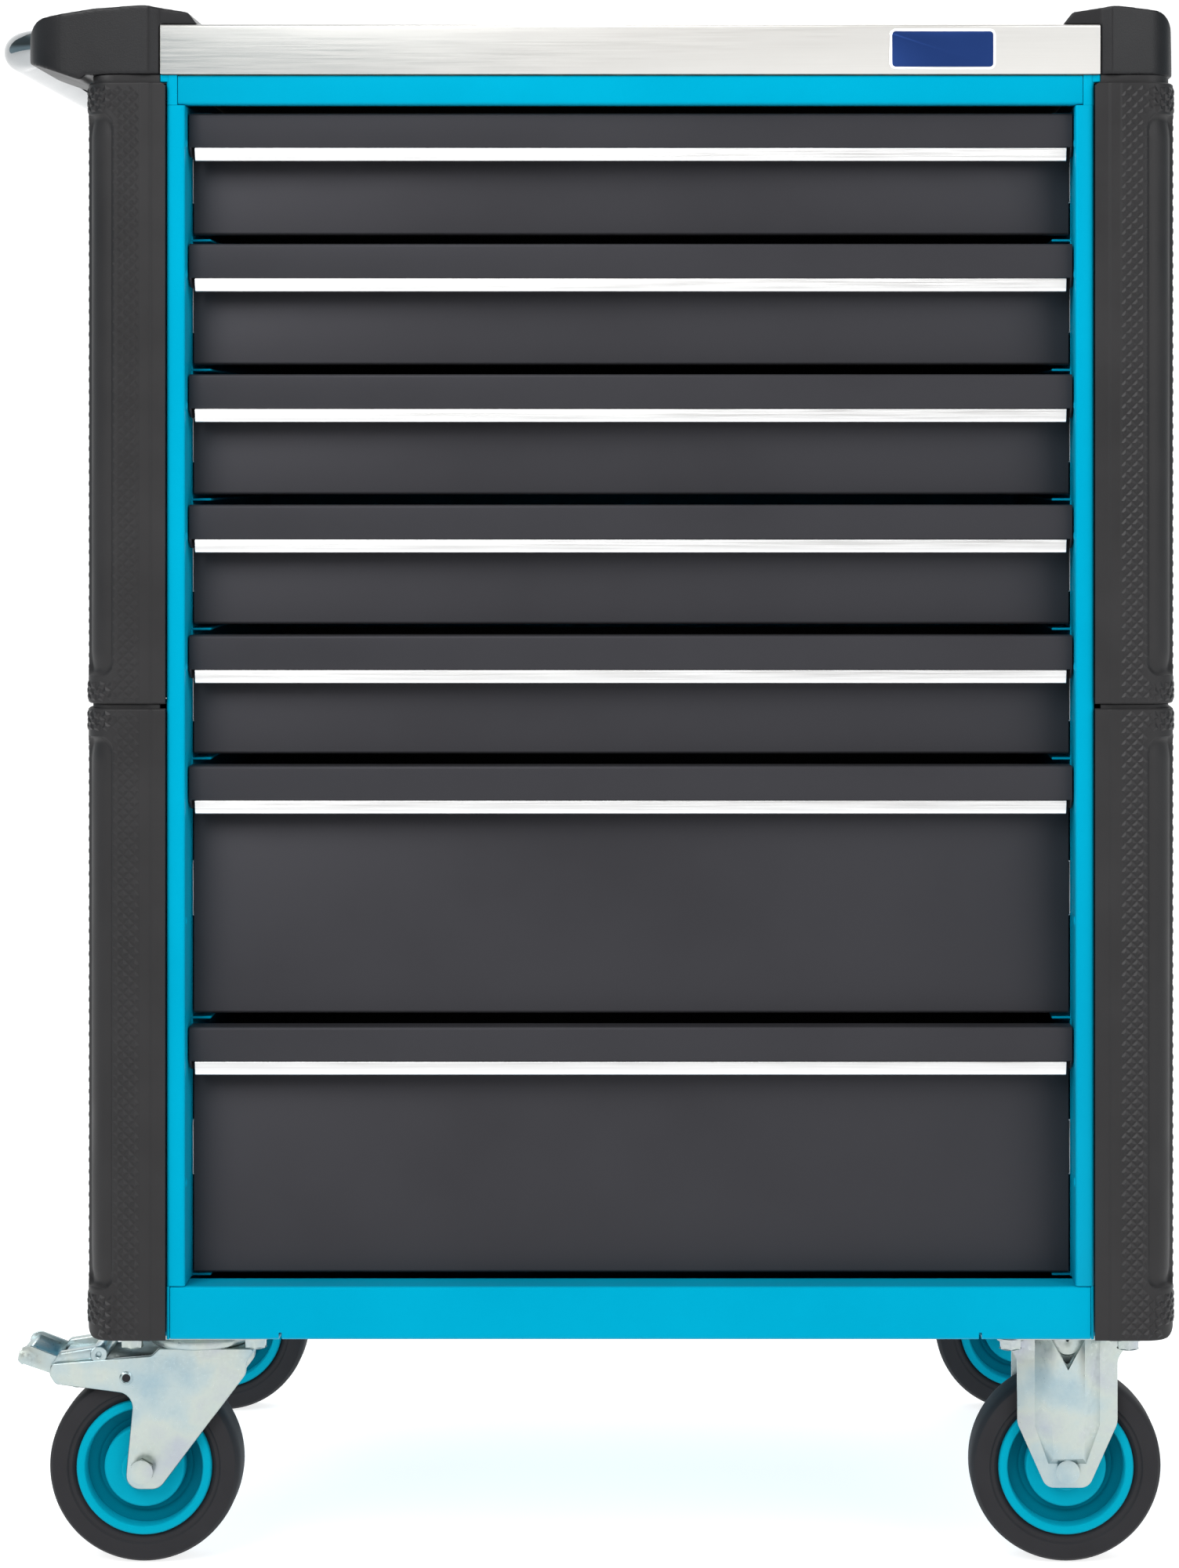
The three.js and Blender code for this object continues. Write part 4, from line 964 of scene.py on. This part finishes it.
def plate_bolts(name, x, y, plate_bottom, spread_x, spread_y):
    points = [((x + a * spread_x, y + b * spread_y, plate_bottom), (0, 0, -1)) for a in (-1, 1) for b in (-1, 1)]
    sizes = {"Head_Radius": 7.5, "Head_Top_Radius": 7.2, "Head_Height": 5.4}
    sizes |= {"Washer_Radius": 8.6, "Washer_Height": 1.5, "Crown_Radius": 6.0, "Crown_Height": 0.5}
    fit(set_parts(name, HEX_BOLTS, points, ZINC, **sizes), "cabinet", "zinc_plate")


def rounded_plate(shape, x, y, half_x, half_y, z0, z1):
    prism(shape, rectangle(x - half_x, x + half_x, y - half_y, y + half_y, 8), "Z", z0, z1)


def ring_z(shape, profile, x, y):
    """Closed (radius, height) profile turned about an upright axis."""
    segments = 72
    rings = []
    for k in range(segments):
        a = 2 * math.pi * k / segments
        rings.append([(x + r * math.cos(a), y + r * math.sin(a), z) for r, z in profile])
    skin(shape, rings, closed=True)


def swivel_caster(place):
    axle_x, y, axle_z = wheel(place)
    low, high = span(f"caster_plate_{place}")
    x = (low.x + high.x) / 2
    plate_bottom = high.z - PLATE
    crown = 142.0
    shape = bmesh.new()
    rounded_plate(shape, x, y, 52.5, 42.5, plate_bottom, high.z)
    race = [(12, plate_bottom + 0.5), (12, crown + 0.4), (31.6, crown + 0.4), (33, crown + 1.6), (33, crown + 6)]
    race += [(30.5, crown + 8.6), (30.5, plate_bottom + 0.5)]
    ring_z(shape, race, x, y)
    fit(pressed(shape, f"top_plate_{place}", ZINC, 0.5), "cabinet", "zinc_plate", f"caster_plate_{place}")
    plate_bolts(f"plate_bolts_{place}", x, y, plate_bottom, 40, 31)

    # fork: two pressed cheeks under a crown, with the brake arm reaching back
    swivel = f"swivel_{place}"
    arm_end = axle_x - 60.3
    pivot_x, pivot_z = axle_x - 43, 120.5
    right = x + 40
    outline = [(right - 0.5, crown, 2), (right - 6.8, crown - 8, 5), (right - 7.7, crown - 17, 7)]
    outline += [(axle_x + 11.1, axle_z - 12.2, 10), (axle_x - 11.3, axle_z - 12.2, 9)]
    outline += [(axle_x - 5.4, pivot_z - 8.5, 10), (arm_end + 4, pivot_z - 1.9, 4), (arm_end, pivot_z + 4.2, 4)]
    outline += [(arm_end + 1, pivot_z + 11.4, 3), (axle_x + 6, crown - 4.8, 4), (axle_x + 11, crown, 2)]
    shape = bmesh.new()
    cheek_plates(shape, rounded(outline, 9), y)
    block(shape, axle_x + 12, right - 2, y - 23, y + 23, crown - 3, crown)
    # slotted housing of the brake lever over the arm
    housing = [(arm_end + 1, pivot_z + 10), (arm_end + 6, pivot_z + 18, 3), (arm_end + 35, pivot_z + 22.5, 3)]
    housing += [(arm_end + 35, pivot_z + 12)]
    for face in (-1, 1):
        prism(shape, rounded(housing, 4), "Y", y + face * 21.6, y + face * 15)
    block(shape, arm_end + 7, arm_end + 34, y - 21, y + 21, pivot_z + 12, pivot_z + 15)
    turned(shape, [(1.6, -23.6), (5.6, -23.6), (5.6, 23.6), (1.6, 23.6)], arm_end + 32, y, pivot_z + 17.2, 36)
    ring_z(shape, [(8, crown - 8), (14, crown - 8), (19, crown - 3), (8, crown - 3)], x, y)
    fit(pressed(shape, f"fork_{place}", ZINC, 0.8, 3), swivel, "zinc_plate", f"caster_fork_{place}")
    axle_bolt(f"axle_bolt_{place}", axle_x, y, axle_z, swivel)
    # collared eyelet through each cheek, with a flat dark disc in its bore: painted shade of the hole
    eye_x, eye_z = axle_x - 10.2, pivot_z + 2.2
    shape = bmesh.new()
    for face in (-1, 1):
        at = face * CHEEK_FACE
        turned(shape, [(3.0, at - face), (3.2, at + face * 0.7), (4.6, at)], eye_x, y, eye_z, 32)
    fit(pressed(shape, f"cheek_eyelets_{place}", ZINC, 0.2), swivel, "zinc_plate")
    # flat dark discs that paint the shade inside the eyelets' bores
    bore_shades = [((eye_x, y + face * (CHEEK_FACE - 0.1), eye_z), (0, face, 0)) for face in (-1, 1)]
    fit(set_parts(f"cheek_bore_shade_{place}", DOMES, bore_shades, RUBBER, Radius=2.9, Flatness=0.12), swivel, "zinc_plate")

    # brake pedal: barrel on the pin and a bent leaf
    body = f"brake_{place}"
    shape = bmesh.new()
    half = 20.8
    bore, barrel = 3.3, 5.0
    turned(shape, [(bore, -half), (barrel, -half), (barrel, half), (bore, half)], pivot_x, y, pivot_z, 36)
    tip = span(f"brake_pedal_{place}")[0].x
    top = [(pivot_x - 12.5, pivot_z + 15.5, 2), (tip + 8, pivot_z + 22.6, 4), (tip + 2.4, pivot_z + 20.6, 4)]
    flange = top + [(tip, pivot_z + 12, 4), (pivot_x - 13, pivot_z + 3, 3), (pivot_x - 4.4, pivot_z - 1.4)]
    flange += [(pivot_x - 2, pivot_z + 4.6)]
    for face in (-1, 1):
        prism(shape, rounded(flange, 5), "Y", y + face * half, y + face * (half - 2.4))
    leaf = [(pivot_x - 13, pivot_z + 13), (tip + 8, pivot_z + 20.4, 4), (tip + 2.6, pivot_z + 18.2, 4)]
    leaf += [(tip + 0.2, pivot_z + 12.4, 2), (tip + 3.6, pivot_z + 9.6), (tip + 6, pivot_z + 15, 2)]
    leaf += [(tip + 9, pivot_z + 17, 3), (pivot_x - 13.4, pivot_z + 10.2)]
    prism(shape, rounded(leaf, 4), "Y", y - half + 1, y + half - 1)
    block(shape, pivot_x - 14, pivot_x - 2, y - half + 1, y + half - 1, pivot_z + 2, pivot_z + 4.4)
    fit(pressed(shape, f"pedal_{place}", ZINC, 0.5), body, "zinc_plate", f"brake_pedal_{place}")


def fixed_caster(place):
    x, y, axle_z = wheel(place)
    top = span(f"caster_bracket_{place}")[1].z
    half = 32.6
    right = [(x + 13.8, axle_z - 11, 8), (x + half, axle_z + 31, 14), (x + half, top - 20, 12)]
    right += [(x + 41, top - 8, 6), (x + 46, top - 3), (x + 11.5, top - 3), (x, top - 26.5, 2)]
    left = [(2 * x - a, b, *radius) for a, b, *radius in reversed(right[:-1])]
    outline = rounded(right + left, 9)
    shape = bmesh.new()
    cheek_plates(shape, outline, y)
    rounded_plate(shape, x, y, 46.5, 42.5, top - PLATE, top)
    # raised rib down the middle of each cheek, ending in a V under the top plate
    half_foot = [(12.5, 67), (21.5, 92), (21.5, 151), (11.6, 151)]
    half_ridge = [(9.5, 72), (10.6, 92), (10.8, 149), (10.6, 149)]
    foot = half_foot + [(0, 128.6)] + [(-a, b) for a, b in reversed(half_foot)]
    ridge = half_ridge + [(0, 129.4)] + [(-a, b) for a, b in reversed(half_ridge)]
    for face in (-1, 1):
        rings = ((foot, CHEEK_FACE - 1.8), (foot, CHEEK_FACE - 0.2), (ridge, CHEEK_FACE + 6.1))
        skin(shape, [[(x + a, y + face * depth, b) for a, b in ring] for ring, depth in rings])
    turned(shape, [(1, -24.6), (9.4, -24.6), (10.4, -23.4), (10.4, 23.4), (9.4, 24.6), (1, 24.6)], x, y, top - 8, 40)
    fit(pressed(shape, f"bracket_{place}", ZINC, 0.9, 3), "cabinet", "zinc_plate", f"caster_bracket_{place}")
    axle_bolt(f"axle_bolt_{place}", x, y, axle_z, "cabinet")
    plate_bolts(f"plate_bolts_{place}", x, y, top - PLATE, 38, 35)


# -------------------- assembly
cabinet()
handle()
for i in DRAWERS:
    drawer(i)
CORNERS = (("front_left", -1, -1), ("front_right", 1, -1), ("rear_left", -1, 1), ("rear_right", 1, 1))
for place, side, end in CORNERS:
    for layer in ("lower", "upper"):
        guard(place, side, end, layer)
    cap(place, side, end)
    if side < 0:
        swivel_caster(place)
    else:
        fixed_caster(place)
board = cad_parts["worktop_core"]
board.data.materials.clear()
board.data.materials.append(BOARD)

# -------------------- studio


def studio():
    paper = Finish("studio_floor", Base_Color=(0.45, 0.45, 0.45, 1), Roughness=0.8, Specular_IOR_Level=0.1)
    paper.sockets["Emission Color"].default_value = (1, 1, 1, 1)
    paper.sockets["Emission Strength"].default_value = 0.8
    paper.colour(paper.noise(900, 2.0), (0.3, (0.44, 0.44, 0.44)), (0.7, (0.46, 0.46, 0.46)))
    mesh = bpy.data.meshes.new("studio_floor")
    start, bend, steps = 4.0, 2.5, 16
    sweep = [(-7, 0), (start, 0)]
    for k in range(1, steps + 1):
        a = math.radians(90 * k / steps)
        sweep.append((start + bend * math.sin(a), bend - bend * math.cos(a)))
    sweep.append((start + bend, 9))
    vertices = [(x, y, z) for y, z in sweep for x in (-9, 9)]
    faces = [(2 * k, 2 * k + 1, 2 * k + 3, 2 * k + 2) for k in range(len(sweep) - 1)]
    mesh.from_pydata(vertices, [], faces)
    mesh.materials.append(paper.material)
    mesh.shade_smooth()
    floor = bpy.data.objects.new("studio_floor", mesh)
    scene.collection.objects.link(floor)
    floor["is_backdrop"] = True

    world = bpy.data.worlds.new("studio")
    world.use_nodes = True
    tree = world.node_tree
    # pale room with a darker ceiling band and cool side walls, which the bright metal mirrors
    parts = add(tree, "ShaderNodeSeparateXYZ", Vector=add(tree, "ShaderNodeTexCoord").outputs["Generated"]).outputs
    dark, darker, white = (0.34, 0.33, 0.32), (0.30, 0.28, 0.26), (1, 1, 1)
    height = ramp(tree, parts["Z"], (0.10, white), (0.30, darker), (0.62, dark), (0.85, white))
    side = tree.nodes.new("ShaderNodeMath")
    side.operation = "ABSOLUTE"
    tree.links.new(parts["X"], side.inputs[0])
    walls = ramp(tree, side.outputs["Value"], (0.32, white), (0.70, (0.33, 0.45, 0.51)))
    both = tree.nodes.new("ShaderNodeMix")
    both.data_type = "RGBA"
    both.blend_type = "MULTIPLY"
    both.inputs["Factor"].default_value = 1.0
    tree.links.new(height, both.inputs["A"])
    tree.links.new(walls, both.inputs["B"])
    tree.links.new(both.outputs["Result"], tree.nodes["Background"].inputs["Color"])
    tree.nodes["Background"].inputs["Strength"].default_value = 0.9
    scene.world = world

    for name, place, target, size, power in (
        ("key_softbox", (-1.7, -3.0, 3.0), (0, 0, 0.85), 2.4, 125),
        ("fill_softbox", (2.7, -2.8, 2.2), (0, 0, 0.8), 2.2, 62),
        ("back_softbox", (0.4, 2.6, 3.4), (0, 0, 0.6), 2.6, 70),
    ):
        light = bpy.data.lights.new(name, "AREA")
        light.shape = "RECTANGLE"
        light.size = light.size_y = size
        light.energy = power
        lamp = bpy.data.objects.new(name, light)
        lamp.location = place
        lamp.rotation_mode = "QUATERNION"
        lamp.rotation_quaternion = (Vector(target) - Vector(place)).to_track_quat("-Z", "Y")
        scene.collection.objects.link(lamp)


def camera():
    """Level camera at the chest's upper half, far enough back for a long lens."""
    data = bpy.data.cameras.new("camera")
    data.lens = 82.29
    data.sensor_width = 36
    data.shift_x = -0.0842
    data.shift_y = -0.205
    data.clip_end = 50
    lens = bpy.data.objects.new("camera", data)
    lens.location = (0.0955, -2.5408, 0.7178)
    lens.rotation_euler = (math.radians(90), 0, 0)
    scene.collection.objects.link(lens)
    scene.camera = lens


studio()
camera()
scene.view_settings.view_transform = "Standard"

low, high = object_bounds()
